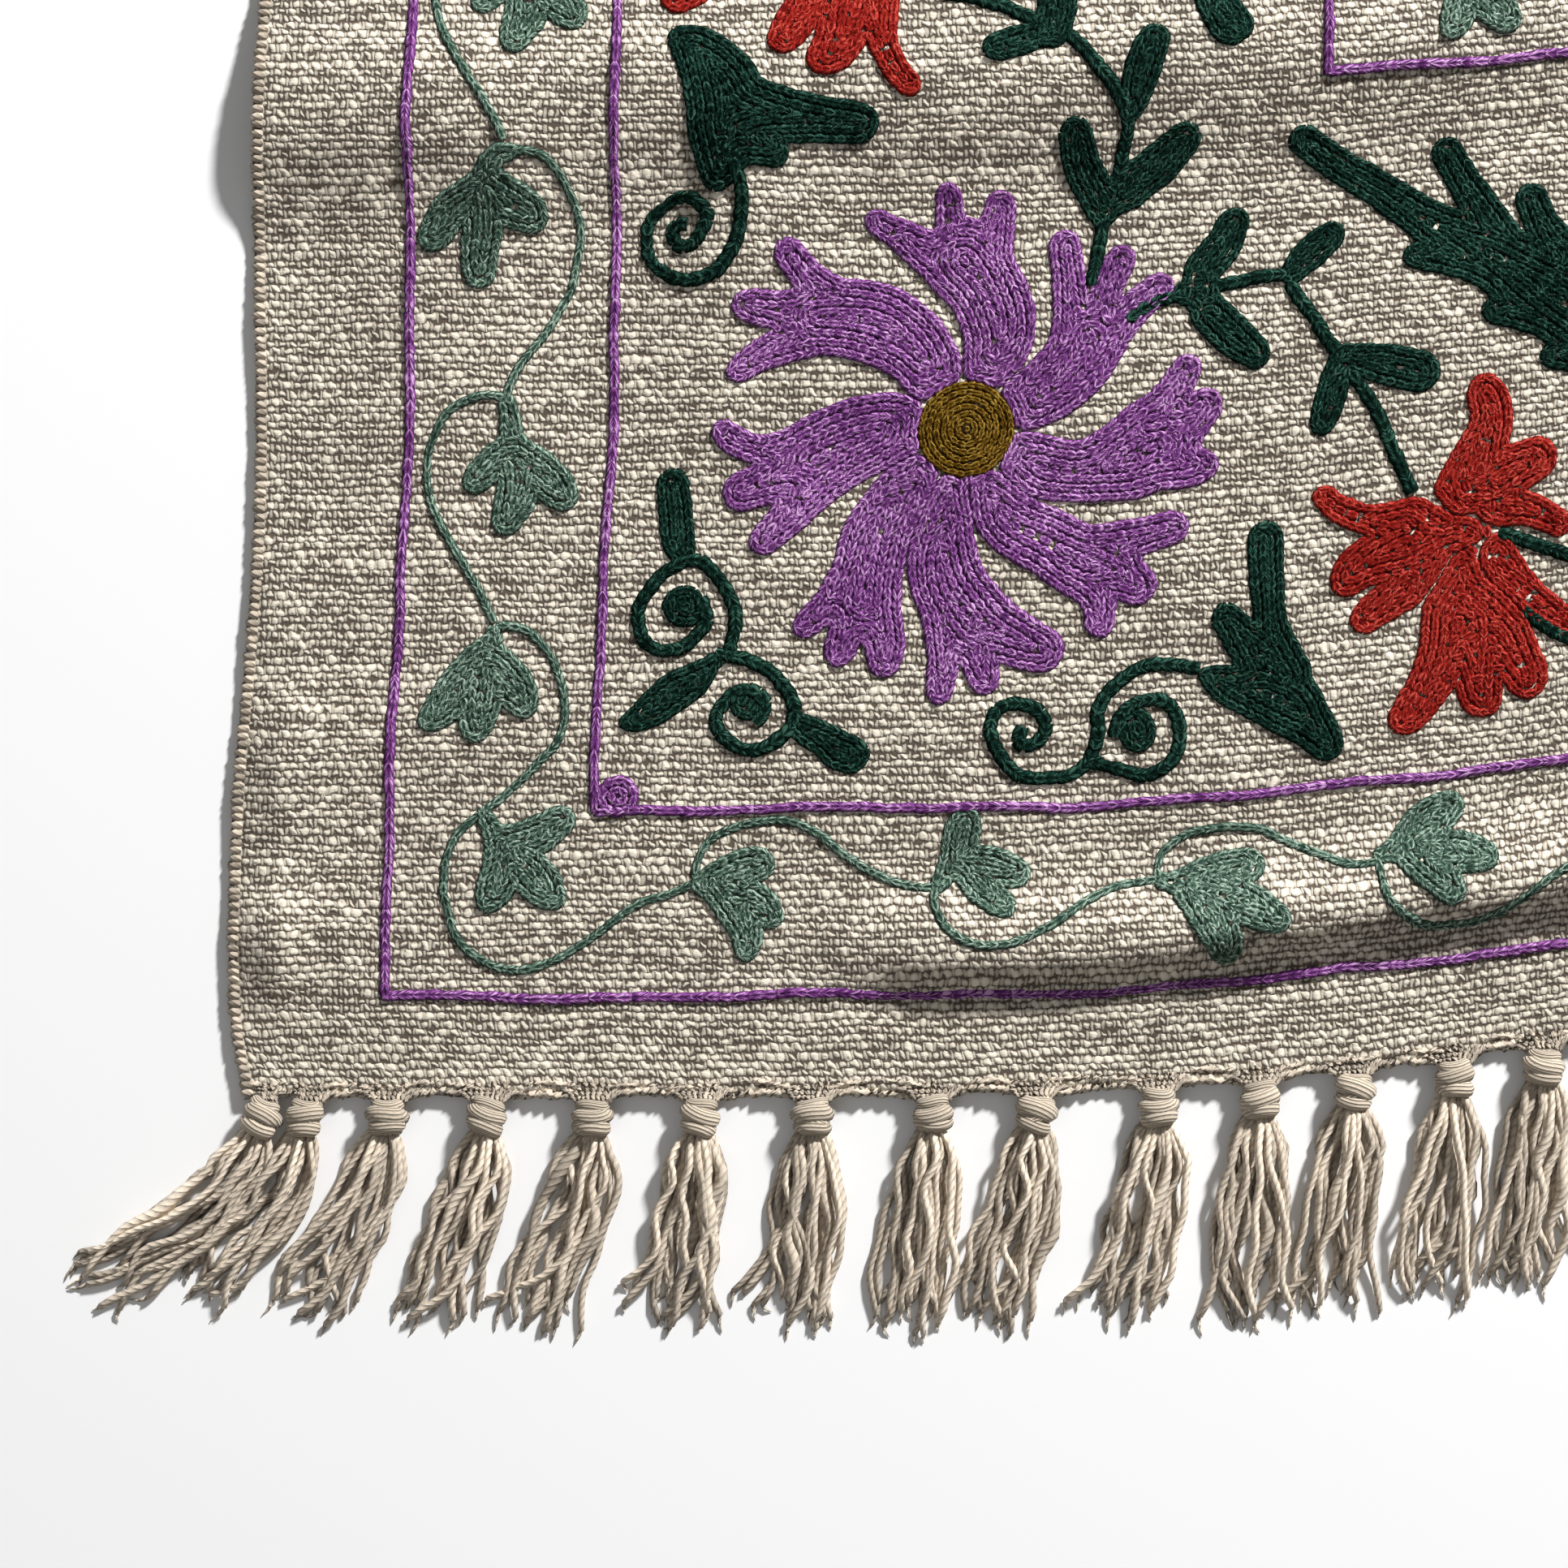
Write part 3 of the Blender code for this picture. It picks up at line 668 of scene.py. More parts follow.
def weave_material():
    """Plain weave of uneven handspun cotton: tilted weft beads of all sizes over a finer warp."""
    m = Recipe("handwoven_cotton")
    across, along = m.flat_place()

    # Which row of weft and which bead of it, as rows and warp ends wander, and the place in the bead
    slow = m.noise((across * 0.03, along * 0.09), 1.0)
    y = along / WEFT_PITCH + slow * 1.6 + m.noise((across, along), 0.50, 1.0) * 0.85
    row = m.math("FLOOR", y)
    row_chance = m.chance(row, 3.0)
    drift = m.noise((across * 0.10, along * 0.05, 4.0), 1.0)
    sideways = m.noise((across, along, 6.0), 0.46, 1.0)
    x = across / WARP_PITCH + drift * 1.5 + sideways * 0.75 + row_chance * 0.22
    pair = (x + row) * 0.5
    bead = m.math("FLOOR", pair + 0.5)
    bead_chance = m.chance(bead, row)
    off_bead = pair - bead
    off_row = m.math("FRACT", y) - 0.5 + m.span(m.chance(bead, row + 0.5), 0, 1, -0.11, 0.11)
    tilted = off_row + off_bead * m.span(m.chance(bead + 0.5, row), 0, 1, -0.25, 0.65)

    # Slubs, and the size of the bead
    slub = m.span(m.noise((across * 0.11, row * 7.3, 9.0), 1.0, 1.0), 0.58, 0.70)
    size = m.span(bead_chance, 0, 1, 0.74, 1.14) + slub * 0.30 + m.span(row_chance, 0, 1, -0.10, 0.10)

    def mound(offset, reach, row_offset, row_reach):
        """A rounded mound over one crossing."""
        first = m.math("ABSOLUTE", offset / reach) ** 2.2
        second = m.math("ABSOLUTE", row_offset / row_reach) ** 2.0
        return m.math("SUBTRACT", 1.0, first + second, clamp=True) ** 0.55

    weft = mound(off_bead, size * 0.41, tilted, size * 0.47)
    warp = mound(m.math("SUBTRACT", 0.5, m.math("ABSOLUTE", off_bead)), 0.20, off_row, 0.54) * 0.62
    height = m.math("MAXIMUM", weft, warp)
    fibre = m.noise((across * 1.3, along * 3.4), 1.0, 3.0, 0.65)
    # The colour runs from painted shade in the gaps, where the weave lies lowest, to the cream of the bead
    # tops
    light = m.span(height, 0.05, 0.90) * m.span(fibre, 0.2, 0.8, 0.70, 1.14)
    colour = m.ramp(light, (
        (0.0, (0.112, 0.086, 0.064)),
        (0.26, (0.278, 0.234, 0.183)),
        (0.60, (0.53, 0.475, 0.385)),
        (1.0, (0.745, 0.68, 0.565)),
    ))
    patch = m.noise((across, along), 0.02, 2.0)
    dye = m.span(bead_chance, 0, 1, 0.82, 1.06) + m.span(row_chance, 0, 1, -0.08, 0.08) + slub * 0.14
    dye = dye * m.span(patch, 0.3, 0.7, 0.94, 1.06)
    return m.finish(m.shaded(colour, dye), height + fibre * 0.22 + slub * 0.25, 0.0007)


def yarn_material(name, dark, light, pitch, strands, groove_shade, depth):
    """Twisted cotton yarn, whose map runs along the yarn in millimetres and once round it, with painted shade
    in the grooves between its plies and on yarns of low tone.
    """
    m = Recipe(name)
    along, around = m.flat_place()
    turn = along / pitch + around * strands
    ply = m.math("ABSOLUTE", m.math("SINE", turn * math.pi)) ** 0.6
    fuzz = m.noise((turn * 2.6, along * 0.7, m.tone()), 1.6, 4.0, 0.7)
    # Painted shade in the grooves between the plies, and the fibres' own fuzz
    share = m.span(ply, 0, 1, groove_shade, 1.0) * m.span(fuzz, 0.28, 0.72, 0.66, 1.20)
    # Low tone paints shade on lower-lying tassel yarns and knot cores; elsewhere the tone differs at random
    share = share * m.span(m.tone(), 0, 1, 0.34, 1.16)
    return m.finish(m.ramp(share, ((0.0, dark), (1.0, light))), ply + fuzz * 0.5, depth)


def thread_material(name, colours):
    """Chain stitch in loosely spun thread: two plump strands that part and close in each stitch, with painted
    shade between and beside the strands and painted highlights among their fibres.
    """
    m = Recipe(name)
    place, off = m.flat_place()
    number = m.math("FLOOR", place / MAP_STEP)
    share = place - number * MAP_STEP - 1.0
    side = m.math("ABSOLUTE", off)
    gap = (side - m.span(m.math("SINE", share * math.pi), 0, 1, 0.34, 0.74)) / 0.60
    strand = m.math("SUBTRACT", 1.0, gap * gap, clamp=True)

    # The thread's fibres, aslant along each strand: flecks partly of its heathered colour and partly of
    # painted highlight
    forward = share * MAP_WIDTH
    slant = side * 2.1 - forward * 1.15
    streak = forward * 0.55 + number * 5.17
    heather_and_highlight = m.noise((streak, slant, number), 1.0, 2.0, 0.6)
    hair = m.noise((streak, slant * 2.6, number), 1.6, 1.0)
    # Painted shade between and beside the strands, random dye from the tone, and flecks that are partly
    # heather and partly painted highlight
    shade = m.span(strand, 0, 1, 0.32, 0.72) * m.tone() * m.span(heather_and_highlight, 0.36, 0.66, 0.30, 1.62)
    shade = m.math("MULTIPLY", shade, m.span(hair, 0.3, 0.7, 0.78, 1.24), clamp=True)
    colour = m.ramp(shade, tuple(zip(THREAD_STOPS, colours)))
    return m.finish(colour, strand * 0.7 + heather_and_highlight * 1.1, 0.0003, 0.9, sheen=0.0, shine=0.04)


# Setting out

def smooth_line(points, step):
    """Evenly spread samples of a smooth line through the points, with whatever they carry."""
    points = np.asarray(points, float)
    if len(points) == 1:
        return points
    padded = np.vstack([2 * points[0] - points[1], points, 2 * points[-1] - points[-2]])
    samples = []
    for a, b, c, d in zip(padded, padded[1:], padded[2:], padded[3:]):
        count = max(2, int(np.linalg.norm((c - b)[:2]) / step) + 1)
        t = np.linspace(0, 1, count, endpoint=False)[:, None]
        samples.append(b + (c - a) * t / 2 + (a - 2.5 * b + 2 * c - d / 2) * t ** 2
                       + (1.5 * (b - c) + (d - a) / 2) * t ** 3)
    return np.vstack(samples + [points[-1:]])


def depth_field(strokes, across, along):
    """How deep each grid point lies inside a form of tapering strokes."""
    depth = np.full((len(along), len(across)), -FAR_OFF)
    for stroke in strokes:
        for u, v, radius in smooth_line(stroke, DISC_STEP):
            distance = np.hypot(across[None] - u, along[:, None] - v)
            np.maximum(depth, radius + OUTLINE_GROWTH - distance, out=depth)
    return depth


# Sides of a grid cell, low, right, high and left, that each of its cases joins
CELL_CASES = {
    1: ((3, 0),), 2: ((0, 1),), 3: ((3, 1),), 4: ((1, 2),), 5: ((3, 2), (0, 1)), 6: ((0, 2),), 7: ((3, 2),),
    8: ((2, 3),), 9: ((0, 2),), 10: ((3, 0), (1, 2)), 11: ((1, 2),), 12: ((1, 3),), 13: ((0, 1),),
    14: ((0, 3),),
}


def level_lines(field, level, across, along):
    """Closed lines on which the field has the given level."""
    over = field > level
    case = over[:-1, :-1] + 2 * over[:-1, 1:] + 4 * over[1:, 1:] + 8 * over[1:, :-1]
    links = {}
    for row, column in zip(*np.nonzero((case > 0) & (case < 15))):
        sides = ((row, column, 0), (row, column + 1, 1), (row + 1, column, 0), (row, column, 1))
        for start, end in CELL_CASES[int(case[row, column])]:
            links.setdefault(sides[start], []).append(sides[end])
            links.setdefault(sides[end], []).append(sides[start])

    def crossing(side):
        row, column, upright = side
        a, b = field[row, column], field[row + upright, column + 1 - upright]
        share = (level - a) / (b - a) * GRID_STEP
        return across[column] + share * (1 - upright), along[row] + share * upright

    lines = []
    while links:
        side = next(iter(links))
        line = [side]
        while onward := [n for n in links.pop(side) if n in links]:
            side = onward[0]
            line.append(side)
        if len(line) > 4:
            points = np.array([crossing(s) for s in line])
            for _ in range(2):
                points = (np.roll(points, 1, axis=0) + 2 * points + np.roll(points, -1, axis=0)) / 4
            lines.append(points)
    return lines


def stitches_along(points, kind, closed=False):
    """The ends, row width and height of each stitch along a line."""
    if closed:
        points = np.roll(points, rng.integers(len(points)), axis=0)
        points = np.vstack([points, points[:1]])
    if rng.random() < 0.5:
        points = points[::-1]
    steps = np.linalg.norm(np.diff(points, axis=0), axis=1)
    places = np.concatenate([[0], np.cumsum(steps)])
    count = int(round(places[-1] / kind["length"]))
    if count < 1:
        return np.zeros((0, 6))
    marks = np.linspace(0, places[-1], count + 1)
    marks[1:-1] += rng.normal(0, LENGTH_CHANGE * kind["length"], count - 1)
    knots = sampled(marks, places, points)
    knots += rng.normal(0, ROW_WOBBLE, knots.shape)
    return np.hstack([knots[:-1], knots[1:], np.full((count, 2), (kind["width"], kind["height"]))])


def fill_gaps(stitches, inner, across, along):
    """Adds stitches where the rows leave a form bare, each turned as its nearest neighbour."""
    places = np.stack(np.meshgrid(across, along), axis=-1)[inner > BARE_DEPTH]
    distance = np.full(len(places), FAR_OFF)

    def cover(stitch):
        start, ahead = stitch[:2], stitch[2:4] - stitch[:2]
        share = np.clip((places - start) @ ahead / max(ahead @ ahead, TINY), 0, 1)
        np.minimum(distance, np.hypot(*(places - start - share[:, None] * ahead).T), out=distance)

    for stitch in stitches:
        cover(stitch)
    middles = (stitches[:, 0:2] + stitches[:, 2:4]) / 2
    added = []
    while len(places) and distance.max() > COVER_REACH:
        place = places[distance.argmax()]
        nearest = stitches[np.hypot(*(middles - place).T).argmin()]
        ahead = nearest[2:4] - nearest[0:2]
        ahead *= 0.5 * FILL["length"] / max(np.hypot(*ahead), TINY)
        sizes = (FILL["width"], ADDED_HEIGHT * FILL["height"])
        added.append(np.concatenate([place - ahead, place + ahead, sizes]))
        cover(added[-1])
    return np.vstack([stitches] + added)


def filled(regions, keep_out=None):
    """Stitches of a form, each region of it filled by rows that follow its outline."""
    points = np.vstack([np.asarray(stroke, float) for region in regions for stroke in region])
    margin = points[:, 2].max() + OUTLINE_GROWTH + 2 * GRID_STEP
    low, high = points[:, :2].min(axis=0) - margin, points[:, :2].max(axis=0) + margin
    across, along = (np.arange(low[k], high[k], GRID_STEP) for k in (0, 1))
    depths = [depth_field(region, across, along) for region in regions]
    stitches = []
    for number, own in enumerate(depths):
        inner = own.copy()
        for other in depths[:number] + depths[number + 1:]:
            np.minimum(inner, (own - other) / 2, out=inner)
        if keep_out is not None:
            centre_u, centre_v, radius = keep_out
            distance = np.hypot(across[None] - centre_u, along[:, None] - centre_v)
            np.minimum(inner, distance - radius, out=inner)
        rows = []
        for level in np.arange(ROW_SPACING / 2, inner.max(), ROW_SPACING):
            lines = level_lines(inner, level, across, along)
            rows += [stitches_along(line, FILL, closed=True) for line in lines]
        stitches.append(fill_gaps(np.vstack(rows), inner, across, along))
    return np.vstack(stitches)


def sewn_lines(strokes, kind):
    """Stitches along stems and border lines."""
    return np.vstack([stitches_along(smooth_line(stroke, LINE_STEP), kind) for stroke in strokes])


def circles(centre, radii):
    """Rings of points round a centre."""
    turn = np.linspace(0, 2 * np.pi, 24)
    return [np.stack([centre[0] + radius * np.cos(turn), centre[1] + radius * np.sin(turn)], axis=1)
            for radius in radii]


def border_line(u, v):
    """A quarter of a border: from the middle of the near end to its corner, and up to the side's middle."""
    end_u, side_v = (np.linspace(start, stop, int(abs(stop - start) / BORDER_STEP))
                     for start, stop in ((WIDTH / 2, u), (v, LENGTH / 2)))
    end_v, side_u = np.full(len(end_u), v), np.full(len(side_v), u)
    for waver in WAVERS:
        end_v += waver["sway"] * np.sin(end_u / waver["at_end"])
        side_u += waver["sway"] * np.sin(side_v / waver["at_side"])
    return [np.stack([end_u, end_v], axis=1), np.stack([side_u, side_v], axis=1)]


def moved(form, pivot, at, scale=1.0, turn=0.0, flip=False):
    """A copy of a form: flipped left to right about its pivot, turned, scaled, and put at another place."""
    cos, sin = math.cos(math.radians(turn)), math.sin(math.radians(turn))
    turned = scale * np.array([[cos, sin], [-sin, cos]])
    if flip:
        turned = np.array([[-1, 0], [0, 1]]) @ turned
    ends = [(form[:, k:k + 2] - pivot) @ turned + at for k in (0, 2)]
    return np.hstack(ends + [form[:, 4:]])


def mirrored(form, flip_across, flip_along):
    """A copy of a form in another quarter of the cloth."""
    form = form.copy()
    if flip_across:
        form[:, [0, 2]] = WIDTH - form[:, [0, 2]]
    if flip_along:
        form[:, [1, 3]] = LENGTH - form[:, [1, 3]]
    return form


def blotch(u, v):
    """Slow changes of tone from place to place, from -1 to 1."""
    return (np.sin(u / 9.1 + 1.7 * np.sin(v / 13.0)) + np.sin(v / 7.3 + 1.3 * np.sin(u / 17.0))) / 2


def sew(name, form, material):
    """Makes the mesh of a form: a short ribbon to each stitch."""
    count = len(form)
    start, ahead = form[:, 0:2], form[:, 2:4] - form[:, 0:2]
    width, height = form[:, 4], form[:, 5]
    aside = beside(unit(ahead))
    dye = 1 + DYE_BLOTCH * blotch(start[:, 0], start[:, 1]) + rng.normal(0, DYE_CHANGE, count)
    number = rng.integers(0, 400, count)
    strand_width = {hand: rng.normal(1, 0.06, count) for hand in (-1, 0, 1)}
    strand_height = {hand: rng.normal(1, 0.12, count) for hand in (-1, 0, 1)}
    points, maps, lifts = [], [], []
    for station in STITCH:
        for across, rise in zip(station["across"], station["rise"]):
            hand = int(np.sign(across))
            off = across * strand_width[hand] * width
            points.append(start + ahead * station["along"] + aside * off[:, None])
            lifts.append(height * strand_height[hand] * rise)
            share = number * MAP_STEP + 1 + station["along"]
            maps.append(np.stack([share, np.full(count, across * MAP_WIDTH)], axis=1))
    lanes = len(STITCH[0]["across"])
    corners = np.array([(k, k + lanes, k + lanes + 1, k + 1)
                        for k in range(len(points) - lanes) if (k + 1) % lanes])
    faces = (np.arange(count)[:, None, None] * len(points) + corners[None]).reshape(-1, 4)
    flat = np.stack(points, axis=1).reshape(-1, 2)
    skin = on_cloth(flat[:, 0], flat[:, 1], np.stack(lifts, axis=1).reshape(-1))
    make_piece(name, skin, faces, material, np.stack(maps, axis=1).reshape(-1, 2),
               np.repeat(dye, len(points)))


# Fringe

def knot_places():
    left = list(np.cumsum(KNOT_GAPS))
    gap = (WIDTH - 2 * left[-1]) / (MIDDLE_KNOTS + 1)
    middle = [left[-1] + gap * (i + 1) for i in range(MIDDLE_KNOTS)]
    return left + middle + [WIDTH - u for u in reversed(left)]


def swings(count, near):
    """Each tassel's direction in degrees from straight out, as in the CAD."""
    shares = np.arange(count) / count
    right = CORNER_SWING * shares ** CORNER_SWING_POWER
    if near:
        found = NEAR_DRIFT + SWING_SPREAD * np.sin(NEAR_SWING_WAVES * shares) + right
        found[:len(NEAR_LEFT_SWINGS)] = NEAR_LEFT_SWINGS
        return found
    left = CORNER_SWING * (1 - shares) ** CORNER_SWING_POWER
    return SWING_SPREAD * np.sin(FAR_SWING_WAVES * shares + FAR_SWING_START) + right - left


def bent_line(start, outward, swing, length):
    """Points of a line that leaves start straight outwards and bends towards its swing."""
    steps = 24
    bends = np.radians(swing * np.minimum(1.0, BEND_START + BEND_RATE * np.arange(steps) / steps))
    heads = np.stack([np.sin(bends), outward * np.cos(bends)], axis=1)
    return np.vstack([start, start + np.cumsum(heads * length / steps, axis=0)])


def along_line(points, shares):
    """Places, headings and directions aside at shares of a line's length."""
    place = sampled(shares * (len(points) - 1), np.arange(len(points)), points)
    heads = unit(np.gradient(place, axis=0))
    return place, heads, beside(heads)


class Tubes:
    """Collects yarns and knots as closed skins, and makes one piece of them."""

    def __init__(self):
        self.points, self.faces, self.maps, self.tones, self.count = [], [], [], [], 0

    def add_skin(self, skin, tips, maps, tip_maps, tone, flip=False):
        """A skin of rings in metres, closed at both ends to its tips, and flipped if it turns inwards."""
        rings, sides = skin.shape[:2]
        ring = self.count + np.arange(rings * sides).reshape(rings, sides)
        after = np.roll(ring, -1, axis=1)
        quads = np.stack([ring[:-1], after[:-1], after[1:], ring[1:]], axis=-1).reshape(-1, 4)
        first, last = (np.full(sides, self.count + rings * sides + k) for k in (0, 1))
        caps = [np.stack([first, after[0], ring[0]], axis=1), np.stack([last, ring[-1], after[-1]], axis=1)]
        faces = np.vstack([quads[:, [0, 1, 2]], quads[:, [0, 2, 3]]] + caps)
        self.faces.append(faces[:, ::-1] if flip else faces)
        self.points += [skin.reshape(-1, 3), tips]
        self.maps += [maps.reshape(-1, 2), tip_maps]
        self.tones.append(np.full(rings * sides + 2, tone))
        self.count += rings * sides + 2

    def add(self, line, wide, thin, turns, tone, phase=0.0, sides=4):
        """One yarn along a line, in millimetres and with half widths wide and thin, with pointed ends.

        It makes turns round its line, and phase shifts its map."""
        centre, rings = placed(line), len(line)
        head = unit(np.gradient(centre, axis=0))
        aside = unit(np.cross(head, (0.0, 0.0, 1.0)))
        up = np.cross(aside, head)
        turn = (2 * np.pi * turns * np.linspace(0, 1, rings))[:, None]
        around = np.arange(sides) / sides
        a = 0.001 * np.broadcast_to(wide, rings)[:, None] * np.cos(2 * np.pi * around)
        b = 0.001 * np.broadcast_to(thin, rings)[:, None] * np.sin(2 * np.pi * around)
        x, z = a * np.cos(turn) - b * np.sin(turn), a * np.sin(turn) + b * np.cos(turn)
        skin = centre[:, None] + aside[:, None] * x[..., None] + up[:, None] * z[..., None]
        skin[..., 2] = np.maximum(skin[..., 2], 0.0)
        lengths = np.concatenate([[0], np.cumsum(np.linalg.norm(np.diff(centre, axis=0), axis=1))]) * 1000
        shift = 10 * phase
        maps = np.stack(np.broadcast_arrays(lengths[:, None], around * (sides > 3)), axis=-1) + shift
        tips = np.stack([centre[0] - head[0] * 0.0004, centre[-1] + head[-1] * 0.0006])
        self.add_skin(skin, tips, maps, np.array([[0, 0], [lengths[-1], 0]]) + shift, tone)

    def piece(self, name, material, slot):
        return make_piece(name, np.vstack(self.points), np.vstack(self.faces), material,
                          np.vstack(self.maps), np.concatenate(self.tones))


def bulge(shares, ends, swell):
    """How full a knot is at shares of its length."""
    return ends + swell * np.sin(np.pi * shares) ** BULGE_POWER


def knot_core(tubes, line, width):
    """The bulb that a knot's wraps lie on, toned darker as painted shade between the wraps."""
    rings, sides = 9, 12
    shares, around = np.linspace(0, 1, rings), np.arange(sides) / sides
    place, _, aside = along_line(line, shares)
    radius = bulge(0.06 + 0.88 * shares, *KNOT_CORE)[:, None]
    centre = np.hstack([place, np.full((rings, 1), KNOT_HEIGHT / 2)])
    aside = np.hstack([aside, np.zeros((rings, 1))])
    skin = centre[:, None] + aside[:, None] * (radius * np.cos(2 * np.pi * around) * width / 2)[..., None]
    skin[..., 2] += radius * np.sin(2 * np.pi * around) * KNOT_HEIGHT / 2
    maps = np.stack(np.broadcast_arrays(shares[:, None] * KNOT_LENGTH, around), axis=-1)
    tubes.add_skin(placed(skin), placed(centre[[0, -1]]), maps, np.zeros((2, 2)), CORE_PAINTED_SHADE_TONE, flip=True)


def wind_knot(tubes, line, width):
    """An overhand knot: broad wraps of yarns, wound slantwise round the tassel's neck."""
    knot_core(tubes, line, width)
    turn = np.radians(np.linspace(8, 172, 11))
    mirror = rng.choice((-1, 1))
    samples = np.linspace(0, 1, 21)
    place, _, aside = along_line(line, samples)
    taper = np.interp(turn, [0, 0.6, 2.5, np.pi], [0.6, 1, 1, 0.6])
    for wrap in KNOT_WRAPS:
        shares = wrap["at"] + mirror * wrap["slant"] * (turn / np.pi - 0.5) + rng.normal(0, 0.03)
        shares = np.clip(shares + 0.04 * np.sin(2 * turn + rng.uniform(0, 6)), 0.02, 0.98)
        spot = sampled(shares, samples, place)
        full = bulge(np.clip(shares, 0.06, 0.94), *WRAP_BULGE)
        flat = spot + aside[10] * (np.cos(turn) * full * width / 2)[:, None]
        rise = (1 + np.sin(turn) * full) * KNOT_HEIGHT / 2
        breadth = wrap["breadth"] * rng.uniform(0.88, 1.12) * taper
        tubes.add(np.hstack([flat, rise[:, None]]), breadth, breadth * 0.5, 0, rng.uniform(0.5, 0.8),
                  rng.uniform(0, 0.2), sides=6)


def tassel_yarns(tubes, line, corner):
    """The loose warp yarns of one tassel, waved, crossing and frayed at their tips."""
    shares = np.linspace(0, 1, YARN_RINGS)
    full = CORNER_FULLNESS if corner else 1.0
    spread, low, over = (np.interp(shares, TASSEL_SHARES, row)
                         for row in (TASSEL_SPREAD, TASSEL_LOW, TASSEL_OVER))

    def wave(height, turns):
        """A wave of random length down the yarn."""
        return height * np.sin(shares * rng.uniform(*turns) + rng.uniform(0, 6.3))

    for yarn in range(YARNS_PER_TASSEL):
        reach = shares * rng.uniform(*YARN_REACH)
        place, head, aside = along_line(line, np.clip(reach, 0, 1))
        place = place + head * (np.maximum(reach - 1, 0) * TASSEL_LENGTH)[:, None]
        slot = (yarn + 0.5) / YARNS_PER_TASSEL * 2 - 1
        upper = yarn % 2
        slot_end = np.clip(slot + rng.normal(0, YARN_STRAY[upper]), -1.1, 1.1)
        off = full * spread * (slot + (slot_end - slot) * shares)
        kinks = wave(rng.uniform(*LONG_KINK), LONG_TURNS) + wave(rng.uniform(*SHORT_KINK), SHORT_TURNS)
        off += kinks * np.minimum(1, KINK_ONSET * shares)
        off += rng.normal(0, CURL) * np.maximum(0, shares - CURL_START) ** 2
        flat = place + aside * off[:, None]
        layer = rng.uniform(*UPPER_LAYER) * (1 - 0.5 * abs(slot)) if upper else rng.uniform(*LOWER_LAYER)
        rise = low + layer * over + wave(LIFT, LIFT_TURNS) * np.minimum(1, LIFT_FADE * (1 - shares))
        swollen = SWELLING * (rng.random() < SWELLING_CHANCE)
        plump = 1 + swollen * np.sin(np.pi * np.clip((shares - rng.uniform(0, 0.5)) * 2.2, 0, 1))
        plump = plump * rng.uniform(*YARN_CHANGE) * np.interp(shares, [0, 0.95, 1], [1, 1, 0.85])
        # Lower-lying yarns get a lower tone, a painted shade under the yarns over them, with a random spread
        tone = np.clip(rng.normal(0.30 + 0.60 * layer, 0.14), 0.0, 1)
        wide, thin = (size * plump for size in YARN_SECTION)
        path = np.hstack([flat, np.maximum(rise, LOWEST_YARN)[:, None]])
        tubes.add(path, wide, thin, 0, tone, rng.uniform(0, 6))
        fray(tubes, flat[-1], head[-1], tone)


def fray(tubes, tip, head, tone):
    """A thin wisp of loose fibres at a yarn's tip."""
    bend = np.radians(rng.normal(0, WISP_BEND)) * np.linspace(0.2, 1, 3)
    ahead = np.stack([head[0] * np.cos(bend) - head[1] * np.sin(bend),
                      head[0] * np.sin(bend) + head[1] * np.cos(bend)], axis=1)
    steps = np.cumsum(ahead * rng.uniform(*WISP_LENGTH) / 3, axis=0)
    wisp = np.hstack([tip + np.vstack([[0, 0], steps]), np.linspace(0.7, 0.35, 4)[:, None]])
    tubes.add(wisp, np.linspace(0.7, 0.2, 4), np.linspace(0.6, 0.2, 4), 0.3, tone, sides=3)


def edge_yarns(tubes, knots, outward, edge):
    """Warp ends gathered into the knots, and the last picks, which wander along the edge."""
    marks = [0.0] + knots + [WIDTH]
    for left, knot, right in zip(marks, knots, marks[2:]):
        for off in np.linspace(-1, 1, FAN_YARNS):
            side = right - knot if off > 0 else knot - left
            aside = off * min(FAN_START[0], FAN_START[1] * side + 1)
            u = np.clip(knot + aside + rng.normal(0, 0.5), 1.0, WIDTH - 1.0)
            inwards = 1 - off * off
            depth = FAN_DEPTH[0] + FAN_DEPTH[1] * inwards + rng.uniform(-0.9, 0.9)
            start = lay(u, edge - outward * depth) + (0, 0, THICKNESS - 0.5)
            aside = off * min(FAN_PASS[0], FAN_PASS[1] * side)
            middle = lay(knot + aside, edge - outward * 1.7) + (0, 0, THICKNESS + 0.5)
            end = lay(knot, edge) + (off * FAN_END, outward * 1.8, 3.0 + 1.8 * inwards)
            path = smooth_line(np.array([start, middle, end]), 1.5)
            thick = rng.uniform(0.8, 1.15)
            wide, thin = (size * thick for size in FAN_SECTION)
            tubes.add(path, wide, thin, 1.0, rng.uniform(0.1, 0.5), rng.uniform(0, 6))
    for inset, thick in EDGE_PICKS:
        u = np.arange(1.5, WIDTH - 1.5, PICK_STEP)
        wander = PICK_WANDER * np.sin(u / rng.uniform(5, 8)) + rng.normal(0, 0.12, len(u))
        path = lay(u, edge - outward * (inset + scallop(u, knots) + wander))
        path[:, 2] += THICKNESS / 2 + 0.35 * np.sin(u / 2.9) + 0.4
        plump = thick * (1 + 0.18 * np.sin(u / 4.3 + 5 * inset))
        tubes.add(path, plump, 0.8 * plump, 60, 0.6, inset)


def scallop(u, knots):
    """How far the edge is drawn back between its knots."""
    marks = np.array([0.0] + knots + [WIDTH])
    place = np.clip(np.searchsorted(marks, u, side="right") - 1, 0, len(marks) - 2)
    share = (u - marks[place]) / (marks[place + 1] - marks[place])
    return SCALLOP_DEPTH * np.sin(np.pi * np.clip(share, 0, 1)) ** 2


